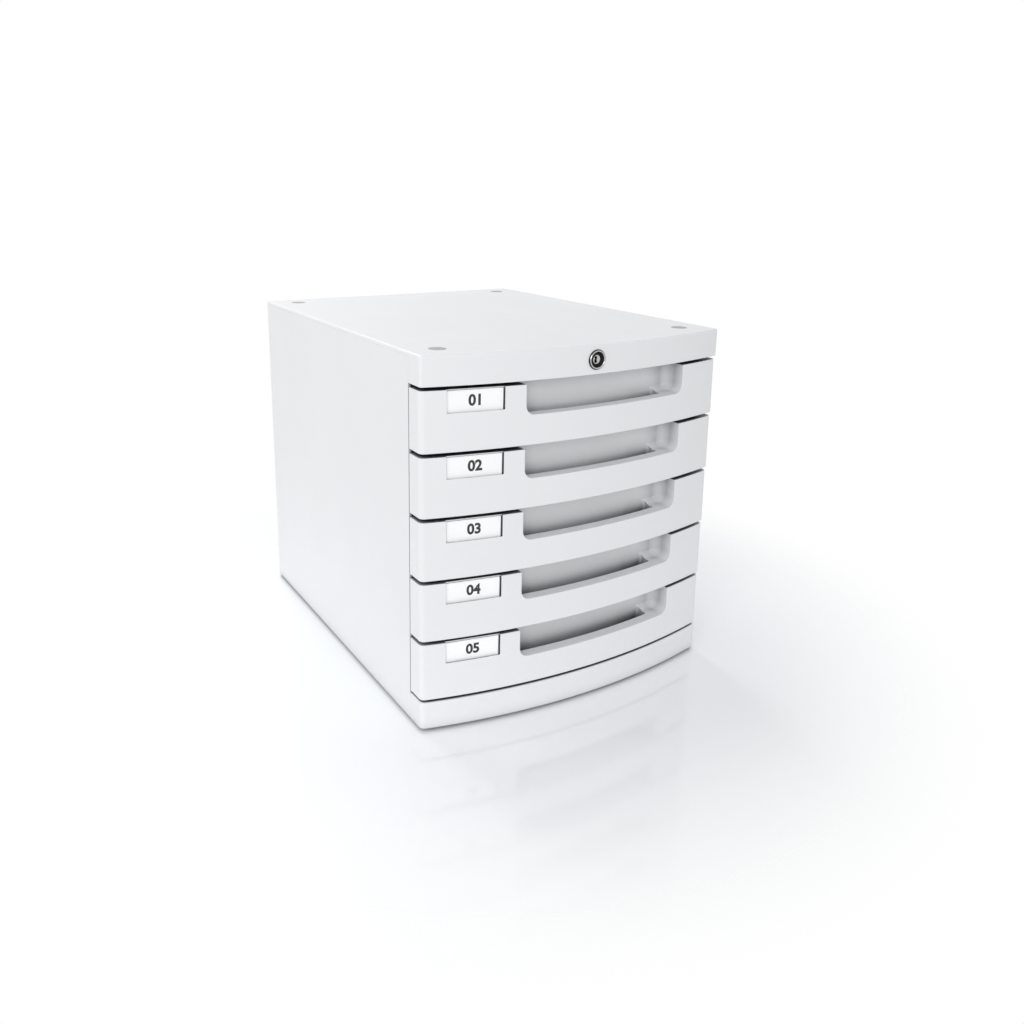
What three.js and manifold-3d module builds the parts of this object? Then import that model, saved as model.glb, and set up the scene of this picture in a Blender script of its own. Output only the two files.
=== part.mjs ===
// Five-drawer desktop cabinet with one key lock that holds every drawer.
// Millimetres, +Z up, +X to the right, the drawers open towards -Y.
// The origin is at the middle of the footprint, on the surface that the feet stand on.

import * as THREE from "three";
import { mergeVertices } from "three/addons/utils/BufferGeometryUtils.js";
import Module from "manifold-3d";

// Casing
const casingWidth = 300;
const chordDepth = 362.8; // from the back to the two front corners
const bowRise = 19.3; // how far the middle of the front swells past its corners
const flankDepth = 20; // sides of the fronts, ahead of the side panels
const fasciaHeight = 24.4;
const plinthHeight = 24.8;
const casingWall = 2.5;
const coverThickness = 3.2;
const fasciaCornerRadius = 2.5;
const plinthCornerRadius = 5;
const casingEdgeRound = 1.6;
const backPanelThickness = 3;
const grooveRib = 2;
const grooveRibReach = 6;

// Clearances
const seatGap = 0.3; // between pieces that rest on or are clamped to each other
const runGap = 0.5; // between pieces that slide past each other
const seamGap = 0.9; // between a drawer front and the side panels
const overrun = 5; // how far a cutter reaches past what it cuts

// Drawer fronts
const drawerCount = 5;
const frontHeight = 50;
const frontGap = 2.8;
const plinthGap = 2.4;
const fasciaGap = 2.4;
const frontWall = 2.5;
const frontCornerRadius = 5;
const frontEdgeRound = 1.4;
const frontLean = 1; // how far the top edge lies behind the bottom edge

// Finger grip of a drawer front
const gripWidth = 166.5;
const gripOffset = 19.5; // its middle, to the right of the middle of the front
const gripDrop = 25.2; // from the top edge down to the ledge
const gripDepth = 30; // from the foremost point of the bow to the pocket's back wall
const gripCornerRadius = 7.5;
const gripEndRadius = 9;
const gripFillet = 5;
const pocketWall = 2;
const ledgeDepth = 11;
const wellFloor = 8.8; // the well's bottom above the front's lower edge
const wellLeftMargin = 3.2;
const wellRightMargin = 17.5;
const wellRound = 4;

// Label holder of a drawer front
const labelWidth = 47.7;
const labelMargin = 44.4; // from the front's left end to the window's middle
const labelDrop = 18.8; // from the top edge down to the window's lower edge
const labelDepth = 2.8;
const labelBacking = 2;
const labelFootSlot = 1.2; // how far the card and its cover stand below the window's edge
const cardTopMargin = 1.8;
const cardSideMargin = 1.2;
const cardThickness = 0.4;
const clearCoverThickness = 0.8;

// Pegs that carry a drawer front on its tray
const pegBossRadius = 5;
const pegRadius = 2.6;
const pegMargin = 22; // from the end of the front
const pegHeight = 22;
const pegTail = 1.5; // how far the peg stands out inside the tray

// Drawer tray and its runners
const trayWall = 2;
const trayCornerRadius = 6;
const trayLift = 3; // the tray's floor above the front's lower edge
const rimDrop = 6; // from the front's top edge down to the tray's rim
const runnerReach = 8;
const runnerThickness = 2;
const runnerSetback = 4;
const flangeThickness = 2.2;
const flangeReach = 5.2;
const stopWidth = 2.8;
const stopLength = 6;
const earLength = 8;
const drawerTravel = 240;

// Catch at the back of a tray
const catchWidth = 12;
const catchTab = 2.5;
const catchLip = 2.2;

// Lock and its linkage
const lockTurnShare = 0.25; // of a full turn
const ringRadius = 8.7;
const ringBore = 6.9;
const ringProud = 1.6;
const ringDepth = 1.3;
const barrelRadius = 6;
const barrelFaceSetback = 0.9;
const barrelLength = 24;
const plugRadius = 4.4;
const plugFaceSetback = 0.5;
const keywayWidth = 1.4;
const keywayHeight = 5.6;
const keywayDepth = 9;
const nutSides = 6;
const nutAcrossFlats = 15;
const nutThickness = 3.5;
const tailSide = 5;
const tailLength = 9;
const sleeveRadius = 5.2;
const sleeveFloor = 3;
const rodRadius = 3;
const rodSquare = 4;
const crankReach = 7.2;
const crankThickness = 3;
const crankHubRadius = 6;
const crankEyeRadius = 3;
const crankPinRadius = 1.5;
const barThickness = 3;
const barRim = 3;
const hookWidth = 8;
const hookThickness = 2.5;
const hookArm = 3;
const hookRoom = 26; // the height of a front that a finger leaves to its arm, the lip and the guide
const hookBelowLip = 5.5;
const hookSpare = 1.1;
const catchPlay = 0.85;

// Guides of the lock bar
const guideHeight = 8;
const guideWall = 1.6;
const guideFoot = 9;
const guideFootThickness = 2.5;

// Brackets that hang the rod under the top cover
const bracketThickness = 3;
const bracketHalfWidth = 6;
const bracketFlange = 2.5;
const bracketFlangeLength = 14;
const bracketFlangeWidth = 12;
const bracketScrewOffset = 14;
const bracketBossHeight = 2;
const bracketBossRadius = 4.5;
const bracketMargin = 40; // from the side panels' front edge, and from the back

// Screws, caps and feet
const screwShankRadius = 1.8;
const screwHeadRadius = 3.5;
const screwHeadHeight = 2;
const screwLength = 13;
const screwTip = 1.5;
const driveRadius = 1.4;
const driveDepth = 1;
const smallShankRadius = 1.3;
const smallHeadRadius = 2.6;
const smallHeadHeight = 1.6;
const smallScrewReach = 2.2; // into the piece that it holds on
const capRadius = 7;
const capThickness = 1.5;
const capEdgeRound = 0.4;
const capSideMargin = 26.5; // from the casing's side to a cap's middle
const capFrontMargin = 22; // from the front corners to a cap's middle
const capBackMargin = 25;
const padRadius = 10;
const padThickness = 3;
const lugMargin = 8;
const lugThickness = 3;
const lugBossRadius = 4.6;
const lugBossLength = 8;
const footRadius = 8;
const footProud = 1.8;
const footSeat = 2.2;
const footEdgeRound = 0.6;

// Fineness of round shapes
const bowSteps = 12;
const cornerSteps = 2;
const roundSides = 16;
const smallSides = 8;
const edgeSteps = 2;
const wellSteps = 4;
const quarterTurn = Math.PI / 2;
const weldDistance = 0.0001;

// Levels, from the surface that the feet stand on
const casingBottom = footProud;
const plinthTop = casingBottom + plinthHeight;
const firstFrontBottom = plinthTop + plinthGap;
const drawerPitch = frontHeight + frontGap;
const rimHeight = frontHeight - rimDrop;
const hookLength = frontHeight - hookRoom; // slender, so it bends a little when a locked drawer is pulled
const fasciaBottom = firstFrontBottom + drawerCount * drawerPitch - frontGap + fasciaGap;
const casingTop = fasciaBottom + fasciaHeight;
const coverUnderside = casingTop - coverThickness;
const lockLevel = fasciaBottom + fasciaHeight / 2;

// Places across and along the casing
const halfWidth = casingWidth / 2;
const innerHalfWidth = halfWidth - casingWall;
const backY = (chordDepth + bowRise + ringProud) / 2;
const cornerY = backY - chordDepth;
const bowY = cornerY - bowRise;
const panelFrontY = cornerY + flankDepth;
const frontBackY = panelFrontY - seamGap;
const bowRadius = (halfWidth ** 2 + bowRise ** 2) / (2 * bowRise);
const bowCentreY = bowY + bowRadius;
const capX = halfWidth - capSideMargin;
const capFrontY = cornerY + capFrontMargin;
const capBackY = backY - capBackMargin;
const cornerPlaces = [
  { name: "front_left", x: -capX, y: capFrontY },
  { name: "front_right", x: capX, y: capFrontY },
  { name: "rear_left", x: -capX, y: capBackY },
  { name: "rear_right", x: capX, y: capBackY },
];

// Layers behind the trays, from the back of the casing forwards
const backPanelRearY = backY - grooveRib - seatGap;
const backPanelFrontY = backPanelRearY - backPanelThickness;
const grooveFrontY = backPanelFrontY - seatGap - grooveRib;
const barRearY = backPanelFrontY - runGap;
const barFrontY = barRearY - barThickness;
const lipRearY = barFrontY - catchPlay;
const lipFrontY = lipRearY - catchLip;
const hookRearY = lipFrontY - catchPlay;
const hookFrontY = hookRearY - hookThickness;
const trayRearY = hookFrontY - catchPlay;
const crankRearY = barFrontY - runGap;
const crankFrontY = crankRearY - crankThickness;

// Motion of the linkage
const lockTurn = lockTurnShare * 4 * quarterTurn;
const crankLift = crankReach * Math.sin(lockTurn / 2);
const crankInset = crankReach * Math.cos(lockTurn / 2);
const barTravel = 2 * crankLift;
const lipLength = barTravel - hookBelowLip + hookSpare;

// Joins and cuts of closed meshes
const wasm = await Module();
wasm.setup();

function toSolid(geometry) {
  const bare = geometry.clone();
  bare.deleteAttribute("normal");
  bare.deleteAttribute("uv");
  const welded = mergeVertices(bare, weldDistance);
  return new wasm.Manifold(new wasm.Mesh({
    numProp: 3,
    vertProperties: new Float32Array(welded.attributes.position.array),
    triVerts: new Uint32Array(welded.index.array),
  }));
}

function toGeometry(solid) {
  const mesh = solid.getMesh();
  const geometry = new THREE.BufferGeometry();
  geometry.setAttribute("position", new THREE.BufferAttribute(mesh.vertProperties, mesh.numProp));
  geometry.setIndex(new THREE.BufferAttribute(mesh.triVerts, 1));
  geometry.computeVertexNormals();
  return geometry;
}

function joined(solids) {
  return solids.reduce((whole, solid) => whole.add(solid));
}

function without(whole, cutters) {
  return cutters.reduce((rest, cutter) => rest.subtract(cutter), whole);
}

// Plain shapes, each between two limits along every axis
function block(x, y, z) {
  const geometry = new THREE.BoxGeometry(x[1] - x[0], y[1] - y[0], z[1] - z[0]);
  geometry.translate((x[0] + x[1]) / 2, (y[0] + y[1]) / 2, (z[0] + z[1]) / 2);
  return toSolid(geometry);
}

function uprightDrum(x, y, z, radius, sides = roundSides) {
  const geometry = new THREE.CylinderGeometry(radius, radius, z[1] - z[0], sides);
  geometry.rotateX(quarterTurn);
  geometry.translate(x, y, (z[0] + z[1]) / 2);
  return toSolid(geometry);
}

function levelDrum(x, y, z, radius, sides = roundSides) {
  const geometry = new THREE.CylinderGeometry(radius, radius, y[1] - y[0], sides);
  geometry.translate(x, (y[0] + y[1]) / 2, z);
  return toSolid(geometry);
}

// A plan outline pushed straight up, with its top and bottom edges rounded where asked
function raised(points, z, round = 0) {
  const geometry = new THREE.ExtrudeGeometry(new THREE.Shape(points), {
    depth: z[1] - z[0] - 2 * round,
    bevelEnabled: round > 0,
    bevelThickness: round,
    bevelSize: round,
    bevelOffset: -round,
    bevelSegments: edgeSteps,
  });
  geometry.translate(0, 0, z[0] + round);
  return geometry;
}

// An outline drawn in X and Z, pushed along Y
function pushedBack(points, y) {
  const geometry = new THREE.ExtrudeGeometry(new THREE.Shape(points), {
    depth: y[1] - y[0],
    bevelEnabled: false,
  });
  geometry.rotateX(quarterTurn);
  geometry.translate(0, y[1], 0);
  return toSolid(geometry);
}

// An outline drawn in Y and Z, pushed along X
function pushedAcross(points, x) {
  const geometry = new THREE.ExtrudeGeometry(new THREE.Shape(points), {
    depth: x[1] - x[0],
    bevelEnabled: false,
  });
  geometry.rotateX(quarterTurn);
  geometry.rotateZ(quarterTurn);
  geometry.translate(x[0], 0, 0);
  return toSolid(geometry);
}

// The points of an arc after its first one
function arcPoints(centreX, centreY, radius, from, to, steps) {
  const points = [];
  for (let step = 1; step <= steps; step += 1) {
    const angle = from + (to - from) * step / steps;
    points.push(new THREE.Vector2(centreX + radius * Math.cos(angle), centreY + radius * Math.sin(angle)));
  }
  return points;
}

function roundedRectangle(x, y, radii) {
  const corners = [
    { x: x[1], y: y[0], from: -quarterTurn, radius: radii[0] },
    { x: x[1], y: y[1], from: 0, radius: radii[1] },
    { x: x[0], y: y[1], from: quarterTurn, radius: radii[2] },
    { x: x[0], y: y[0], from: 2 * quarterTurn, radius: radii[3] },
  ];
  return corners.flatMap((corner) => {
    if (corner.radius === 0) {
      return [new THREE.Vector2(corner.x, corner.y)];
    }
    const middle = corner.from + quarterTurn / 2;
    const centreX = corner.x - Math.sign(Math.cos(middle)) * corner.radius;
    const centreY = corner.y - Math.sign(Math.sin(middle)) * corner.radius;
    const start = new THREE.Vector2(
      centreX + corner.radius * Math.cos(corner.from),
      centreY + corner.radius * Math.sin(corner.from),
    );
    const to = corner.from + quarterTurn;
    return [start, ...arcPoints(centreX, centreY, corner.radius, corner.from, to, cornerSteps)];
  });
}

// The bowed plan that the fascia, the drawer fronts and the plinth share
function bowAt(x, inset = 0) {
  return bowCentreY - Math.sqrt((bowRadius - inset) ** 2 - x ** 2);
}

function bowedPlan(back, cornerRadius, inset = 0) {
  const radius = bowRadius - inset;
  const half = halfWidth - inset;
  const corner = Math.max(cornerRadius - inset, inset / 2);
  const cornerX = half - corner;
  const cornerCentreY = bowCentreY - Math.sqrt((radius - corner) ** 2 - cornerX ** 2);
  const meeting = Math.atan2(cornerCentreY - bowCentreY, cornerX);
  const opposite = -2 * quarterTurn - meeting;
  return [
    new THREE.Vector2(half, back),
    new THREE.Vector2(half, cornerCentreY),
    ...arcPoints(cornerX, cornerCentreY, corner, 0, meeting, cornerSteps),
    ...arcPoints(0, bowCentreY, radius, meeting, opposite, bowSteps),
    ...arcPoints(-cornerX, cornerCentreY, corner, opposite, -2 * quarterTurn, cornerSteps),
    new THREE.Vector2(-half, back),
  ];
}

// A turned piece: its profile runs from the axis back to the axis, in radius and height
function turned(profile, sides = roundSides) {
  const points = profile.map(([radius, height]) => new THREE.Vector2(radius, height));
  const geometry = new THREE.LatheGeometry(points, sides);
  geometry.rotateX(quarterTurn);
  return geometry;
}

// Finishes
const finishes = {
  casing: { color: 0xe9e9ec, roughness: 0.5, metalness: 0 },
  tray: { color: 0xdcdde0, roughness: 0.5, metalness: 0 },
  cap: { color: 0xa6a8aa, roughness: 0.6, metalness: 0 },
  rubber: { color: 0x2c2c2e, roughness: 0.85, metalness: 0 },
  steel: { color: 0xb8bbbf, roughness: 0.35, metalness: 1 },
  chrome: { color: 0xd8dadd, roughness: 0.12, metalness: 1 },
  black: { color: 0x151517, roughness: 0.4, metalness: 0 },
  brass: { color: 0xc9c6bd, roughness: 0.3, metalness: 1 },
  card: { color: 0xfcfcfc, roughness: 0.9, metalness: 0 },
  clear: { color: 0xf6f8fa, roughness: 0.08, metalness: 0, transparent: true, opacity: 0.25 },
};

function piece(name, geometry, finish) {
  const mesh = new THREE.Mesh(geometry, new THREE.MeshStandardMaterial(finishes[finish]));
  mesh.name = name;
  return mesh;
}

// Countersunk screw standing on its tip at the origin, head up
function countersunkScrew() {
  return turned([
    [0, 0],
    [screwShankRadius / 2, screwTip / 2],
    [screwShankRadius, screwTip],
    [screwShankRadius, screwLength - screwHeadHeight],
    [screwHeadRadius, screwLength],
    [driveRadius, screwLength],
    [driveRadius / 2, screwLength - driveDepth],
    [0, screwLength - driveDepth],
  ], smallSides);
}

// Pan-head screw standing on its tip at the origin, head up
function smallScrew(length) {
  return turned([
    [0, 0],
    [smallShankRadius, smallShankRadius / 2],
    [smallShankRadius, length],
    [smallHeadRadius, length],
    [smallHeadRadius, length + smallHeadHeight / 2],
    [smallHeadRadius / 2, length + smallHeadHeight],
    [0, length + smallHeadHeight],
  ], smallSides);
}

// Room for a countersunk screw whose head lies at the given level, pointing down or up
function screwRoom(x, y, headLevel, direction) {
  const reach = headLevel - direction * screwHeadHeight;
  const geometry = new THREE.CylinderGeometry(
    screwHeadRadius + seatGap,
    screwShankRadius + seatGap,
    screwHeadHeight,
    smallSides,
  );
  geometry.rotateX(direction * quarterTurn);
  geometry.translate(x, y, (headLevel + reach) / 2);
  const end = headLevel - direction * (screwLength + seatGap);
  const shaft = uprightDrum(x, y, [Math.min(headLevel, end), Math.max(headLevel, end)],
    screwShankRadius + seatGap, smallSides);
  return toSolid(geometry).add(shaft);
}

// Top cover: a flat plate with the bowed fascia in one piece
const coverPadBottom = coverUnderside - padThickness;
const coverScrewLevel = casingTop - capThickness - seatGap;
const bracketRows = [
  { name: "front", y: panelFrontY + bracketMargin },
  { name: "rear", y: backY - bracketMargin },
];
const bossBottom = coverUnderside - bracketBossHeight;
const pastBothSides = [-halfWidth - overrun, halfWidth + overrun];

function topCover() {
  const outer = toSolid(raised(
    bowedPlan(backY, fasciaCornerRadius),
    [fasciaBottom - casingEdgeRound, casingTop],
    casingEdgeRound,
  ));
  const belowFascia = block(
    pastBothSides,
    [bowY - overrun, backY + overrun],
    [fasciaBottom - overrun, fasciaBottom],
  );
  const behindFascia = block(
    pastBothSides,
    [panelFrontY - seatGap, backY + overrun],
    [fasciaBottom - overrun, coverUnderside],
  );
  const hollow = toSolid(raised(
    bowedPlan(panelFrontY + overrun, fasciaCornerRadius, casingWall),
    [fasciaBottom + casingWall, coverUnderside],
  ));
  const shell = without(outer, [belowFascia, behindFascia, hollow]);
  const padZ = [coverPadBottom, casingTop - casingEdgeRound];
  const pads = cornerPlaces.map(({ x, y }) => uprightDrum(x, y, padZ, padRadius));
  const bossZ = [bossBottom, casingTop - casingEdgeRound];
  const bosses = bracketRows.map(({ y }) => {
    return uprightDrum(bracketScrewOffset, y, bossZ, bracketBossRadius, smallSides);
  });
  const capZ = [coverScrewLevel, casingTop + overrun];
  const capRooms = cornerPlaces.map(({ x, y }) => uprightDrum(x, y, capZ, capRadius + seatGap));
  const screwRooms = cornerPlaces.map(({ x, y }) => screwRoom(x, y, coverScrewLevel, 1));
  const pilotZ = [bossBottom - overrun, bossBottom + smallScrewReach + seatGap];
  const pilots = bracketRows.map(({ y }) => {
    return uprightDrum(bracketScrewOffset, y, pilotZ, smallShankRadius + seatGap, smallSides);
  });
  const lockY = [bowY - overrun, bowY + casingWall + overrun];
  const lockBore = levelDrum(0, lockY, lockLevel, barrelRadius + seatGap);
  return without(
    joined([shell, ...pads, ...bosses]),
    [...capRooms, ...screwRooms, ...pilots, lockBore],
  );
}

// Base: a floor between the side panels with the bowed plinth in one piece
const baseTop = casingBottom + casingWall;
const basePadTop = baseTop + padThickness;
const baseScrewLevel = casingBottom + footSeat;

function basePlate() {
  const outer = toSolid(raised(
    bowedPlan(panelFrontY + overrun, plinthCornerRadius),
    [casingBottom, plinthTop],
    casingEdgeRound,
  ));
  const behindPlinth = block(
    pastBothSides,
    [panelFrontY - seatGap, panelFrontY + 2 * overrun],
    [casingBottom - overrun, plinthTop + overrun],
  );
  const hollow = toSolid(raised(
    bowedPlan(panelFrontY + overrun, plinthCornerRadius, casingWall),
    [baseTop, plinthTop - casingWall],
  ));
  const floor = block(
    [-innerHalfWidth + seatGap, innerHalfWidth - seatGap],
    [cornerY, backY],
    [casingBottom, baseTop],
  );
  const pads = cornerPlaces.map(({ x, y }) => uprightDrum(x, y, [casingBottom, basePadTop], padRadius));
  const footZ = [casingBottom - overrun, baseScrewLevel];
  const footRooms = cornerPlaces.map(({ x, y }) => uprightDrum(x, y, footZ, footRadius + seatGap));
  const screwRooms = cornerPlaces.map(({ x, y }) => screwRoom(x, y, baseScrewLevel, -1));
  return without(
    joined([without(outer, [behindPlinth, hollow]), floor, ...pads]),
    [...footRooms, ...screwRooms],
  );
}

// Side panel: side is -1 for the left one and 1 for the right one
function across(side, near, far) {
  return side > 0 ? [near, far] : [-far, -near];
}

const panelTop = coverUnderside - seatGap;
const trayHalfWidth = innerHalfWidth - runnerReach - runGap;

function runnerChannel(side, frontBottom) {
  const flangeBottom = frontBottom + rimHeight - flangeThickness;
  const shelfTop = flangeBottom - seatGap;
  const guideBottom = flangeBottom + flangeThickness + runGap;
  const x = across(side, innerHalfWidth - runnerReach, innerHalfWidth + casingWall / 2);
  const y = [panelFrontY + runnerSetback, grooveFrontY + grooveRib / 2];
  const stopX = across(side, innerHalfWidth - stopWidth, innerHalfWidth + casingWall / 2);
  const stopY = [y[0], y[0] + stopLength];
  return [
    block(x, y, [shelfTop - runnerThickness, shelfTop]),
    block(x, y, [guideBottom, guideBottom + runnerThickness]),
    block(stopX, stopY, [shelfTop - runnerThickness / 2, guideBottom + runnerThickness / 2]),
  ];
}

function sidePanel(side) {
  const plate = block(
    across(side, innerHalfWidth, halfWidth),
    [panelFrontY, backY],
    [casingBottom, panelTop],
  );
  const ribX = across(side, innerHalfWidth - grooveRibReach, innerHalfWidth + casingWall / 2);
  const ribZ = [baseTop + seatGap, panelTop];
  const ribs = [
    block(ribX, [backY - grooveRib, backY], ribZ),
    block(ribX, [grooveFrontY, grooveFrontY + grooveRib], ribZ),
  ];
  const channels = Array.from({ length: drawerCount }, (_, row) => {
    return runnerChannel(side, firstFrontBottom + row * drawerPitch);
  }).flat();
  const lugX = across(side, capX - lugMargin, innerHalfWidth + casingWall / 2);
  const lugRows = [
    { y: capFrontY, reach: [panelFrontY + seatGap, capFrontY + padRadius] },
    { y: capBackY, reach: [capBackY - padRadius, capBackY + padRadius] },
  ];
  const lugTop = coverPadBottom - seatGap;
  const lugBottom = basePadTop + seatGap;
  const lugs = lugRows.flatMap(({ y, reach }) => [
    block(lugX, reach, [lugTop - lugThickness, lugTop]),
    uprightDrum(side * capX, y, [lugTop - lugThickness - lugBossLength, lugTop], lugBossRadius),
    block(lugX, reach, [lugBottom, lugBottom + lugThickness]),
    uprightDrum(side * capX, y, [lugBottom, lugBottom + lugThickness + lugBossLength], lugBossRadius),
  ]);
  const rooms = lugRows.flatMap(({ y }) => [
    screwRoom(side * capX, y, coverScrewLevel, 1),
    screwRoom(side * capX, y, baseScrewLevel, -1),
  ]);
  return without(joined([plate, ...ribs, ...channels, ...lugs]), rooms);
}

// Back panel, with blind holes for the screws of the two guides
const slotHalfHeight = crankPinRadius + runGap;
const slotLeft = -crankReach - slotHalfHeight;
const slotRight = -crankInset + slotHalfHeight;
const barLeft = slotLeft - barRim;
const barRight = slotRight + barRim;
const barMiddle = (barLeft + barRight) / 2;

function lipBottomAt(row) {
  return firstFrontBottom + row * drawerPitch + rimHeight - catchTab - lipLength;
}

function hookTopAt(row) {
  return lipBottomAt(row) - hookBelowLip;
}

// The middle of the free stretch between a tray's rim and the hook above it
function betweenHooks(row) {
  const rimTop = firstFrontBottom + row * drawerPitch + rimHeight;
  const nextArmBottom = hookTopAt(row + 1) - hookLength - hookArm;
  return (rimTop + nextArmBottom) / 2;
}

const guideLevels = [
  { name: "lower", z: betweenHooks(0) },
  { name: "upper", z: betweenHooks(drawerCount - 2) },
];
const guideScrewX = [
  { name: "left", x: barLeft - runGap - guideWall - guideFoot / 2 },
  { name: "right", x: barRight + runGap + guideWall + guideFoot / 2 },
];

function backPanel() {
  const plate = block(
    [-innerHalfWidth + seatGap, innerHalfWidth - seatGap],
    [backPanelFrontY, backPanelRearY],
    [baseTop + seatGap, coverUnderside - seatGap],
  );
  const holeY = [backPanelFrontY - overrun, backPanelFrontY + smallScrewReach + seatGap];
  const holes = guideLevels.flatMap(({ z }) => {
    return guideScrewX.map(({ x }) => levelDrum(x, holeY, z, smallShankRadius + seatGap, smallSides));
  });
  return without(plate, holes);
}

// Lock bar: a strip with a cross slot for the crank's pin and one hook for each drawer
function lockBar() {
  const top = coverUnderside - runGap - barTravel;
  const bottom = hookTopAt(0) - hookLength - hookArm;
  const strip = block([barLeft, barRight], [barFrontY, barRearY], [bottom, top]);
  const pinLevel = lockLevel - crankLift;
  const slot = block(
    [slotLeft, slotRight],
    [barFrontY - overrun, barRearY + overrun],
    [pinLevel - slotHalfHeight, pinLevel + slotHalfHeight],
  );
  const hookX = [barMiddle - hookWidth / 2, barMiddle + hookWidth / 2];
  const hooks = Array.from({ length: drawerCount }, (_, row) => {
    const hookTop = hookTopAt(row);
    const armBottom = hookTop - hookLength - hookArm;
    return [
      block(hookX, [hookFrontY, barFrontY + barThickness / 2], [armBottom, armBottom + hookArm]),
      block(hookX, [hookFrontY, hookRearY], [armBottom, hookTop]),
    ];
  }).flat();
  return without(joined([strip, ...hooks]), [slot]);
}

// Guide: a staple over the bar, with a foot on each side against the back panel
function barGuide(z) {
  const zRange = [z - guideHeight / 2, z + guideHeight / 2];
  const rear = backPanelFrontY - seatGap;
  const front = barFrontY - runGap - guideWall;
  const bridge = block(
    [barLeft - runGap - guideWall, barRight + runGap + guideWall],
    [front, rear],
    zRange,
  );
  const feet = block(
    [barLeft - runGap - guideWall - guideFoot, barRight + runGap + guideWall + guideFoot],
    [rear - guideFootThickness, rear],
    zRange,
  );
  const passage = block(
    [barLeft - runGap, barRight + runGap],
    [barFrontY - runGap, rear + overrun],
    [zRange[0] - overrun, zRange[1] + overrun],
  );
  const holes = guideScrewX.map(({ x }) => {
    return levelDrum(x, [front, rear + overrun], z, smallShankRadius + seatGap, smallSides);
  });
  return without(joined([bridge, feet]), [passage, ...holes]);
}

// Rod bracket: an eye for the rod and a flange under the boss of the top cover
const bracketTop = bossBottom - seatGap;

function rodBracket(y) {
  const eye = block(
    [-bracketHalfWidth, bracketHalfWidth],
    [y - bracketThickness / 2, y + bracketThickness / 2],
    [lockLevel - bracketHalfWidth, bracketTop],
  );
  const flange = block(
    [-bracketHalfWidth, bracketHalfWidth + bracketFlangeLength],
    [y - bracketFlangeWidth / 2, y + bracketFlangeWidth / 2],
    [bracketTop - bracketFlange, bracketTop],
  );
  const boreY = [y - bracketFlangeWidth, y + bracketFlangeWidth];
  const bore = levelDrum(0, boreY, lockLevel, rodRadius + seatGap);
  const holeZ = [bracketTop - bracketFlange - overrun, bracketTop + overrun];
  const hole = uprightDrum(bracketScrewOffset, y, holeZ, smallShankRadius + seatGap, smallSides);
  return without(joined([eye, flange]), [bore, hole]);
}

// Lock: ring, barrel, nut, turning plug, and the rod with its crank
const ringFrontY = bowY - ringProud;
const barrelFrontY = ringFrontY + barrelFaceSetback;
const barrelRearY = bowY + barrelLength;
const plugFrontY = barrelFrontY + plugFaceSetback;
const tailRearY = barrelRearY + tailLength;
const rodFrontY = barrelRearY + seatGap;
const rodRearY = crankRearY;

function lockRing() {
  const outer = levelDrum(0, [ringFrontY, ringFrontY + ringDepth], lockLevel, ringRadius);
  const bore = levelDrum(0, [ringFrontY - overrun, bowY + overrun], lockLevel, ringBore);
  return without(outer, [bore]);
}

function lockBarrel() {
  const face = levelDrum(0, [barrelFrontY, ringFrontY + ringDepth], lockLevel, ringBore - seatGap);
  const body = levelDrum(0, [barrelFrontY, barrelRearY], lockLevel, barrelRadius);
  const boreY = [barrelFrontY - overrun, barrelRearY + overrun];
  const bore = levelDrum(0, boreY, lockLevel, plugRadius + seatGap);
  return without(joined([face, body]), [bore]);
}

function lockNut() {
  const y = [bowY + casingWall + seatGap, bowY + casingWall + seatGap + nutThickness];
  const cornerRadius = nutAcrossFlats / 2 / Math.cos(2 * quarterTurn / nutSides);
  const hexagon = levelDrum(0, y, lockLevel, cornerRadius, nutSides);
  const turnedHexagon = toGeometry(hexagon);
  turnedHexagon.translate(0, 0, -lockLevel);
  turnedHexagon.rotateY(quarterTurn);
  turnedHexagon.translate(0, 0, lockLevel);
  const bore = levelDrum(0, [y[0] - overrun, y[1] + overrun], lockLevel, barrelRadius + seatGap);
  return without(toSolid(turnedHexagon), [bore]);
}

function lockPlug() {
  const body = levelDrum(0, [plugFrontY, barrelRearY], lockLevel, plugRadius);
  const tail = block(
    [-tailSide / 2, tailSide / 2],
    [barrelRearY - seatGap, tailRearY],
    [lockLevel - tailSide / 2, lockLevel + tailSide / 2],
  );
  const keyway = block(
    [-keywayWidth / 2, keywayWidth / 2],
    [plugFrontY - overrun, plugFrontY + keywayDepth],
    [lockLevel - keywayHeight / 2, lockLevel + keywayHeight / 2],
  );
  return without(joined([body, tail]), [keyway]);
}

function lockRod() {
  const sleeveRearY = tailRearY + seatGap + sleeveFloor;
  const sleeve = levelDrum(0, [rodFrontY, sleeveRearY], lockLevel, sleeveRadius);
  const bar = levelDrum(0, [sleeveRearY - sleeveFloor, crankFrontY - seatGap], lockLevel, rodRadius);
  const squareEnd = block(
    [-rodSquare / 2, rodSquare / 2],
    [crankFrontY - 2 * seatGap, rodRearY],
    [lockLevel - rodSquare / 2, lockLevel + rodSquare / 2],
  );
  const socket = block(
    [-tailSide / 2 - seatGap, tailSide / 2 + seatGap],
    [rodFrontY - overrun, tailRearY + seatGap],
    [lockLevel - tailSide / 2 - seatGap, lockLevel + tailSide / 2 + seatGap],
  );
  return without(joined([sleeve, bar, squareEnd]), [socket]);
}

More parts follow.
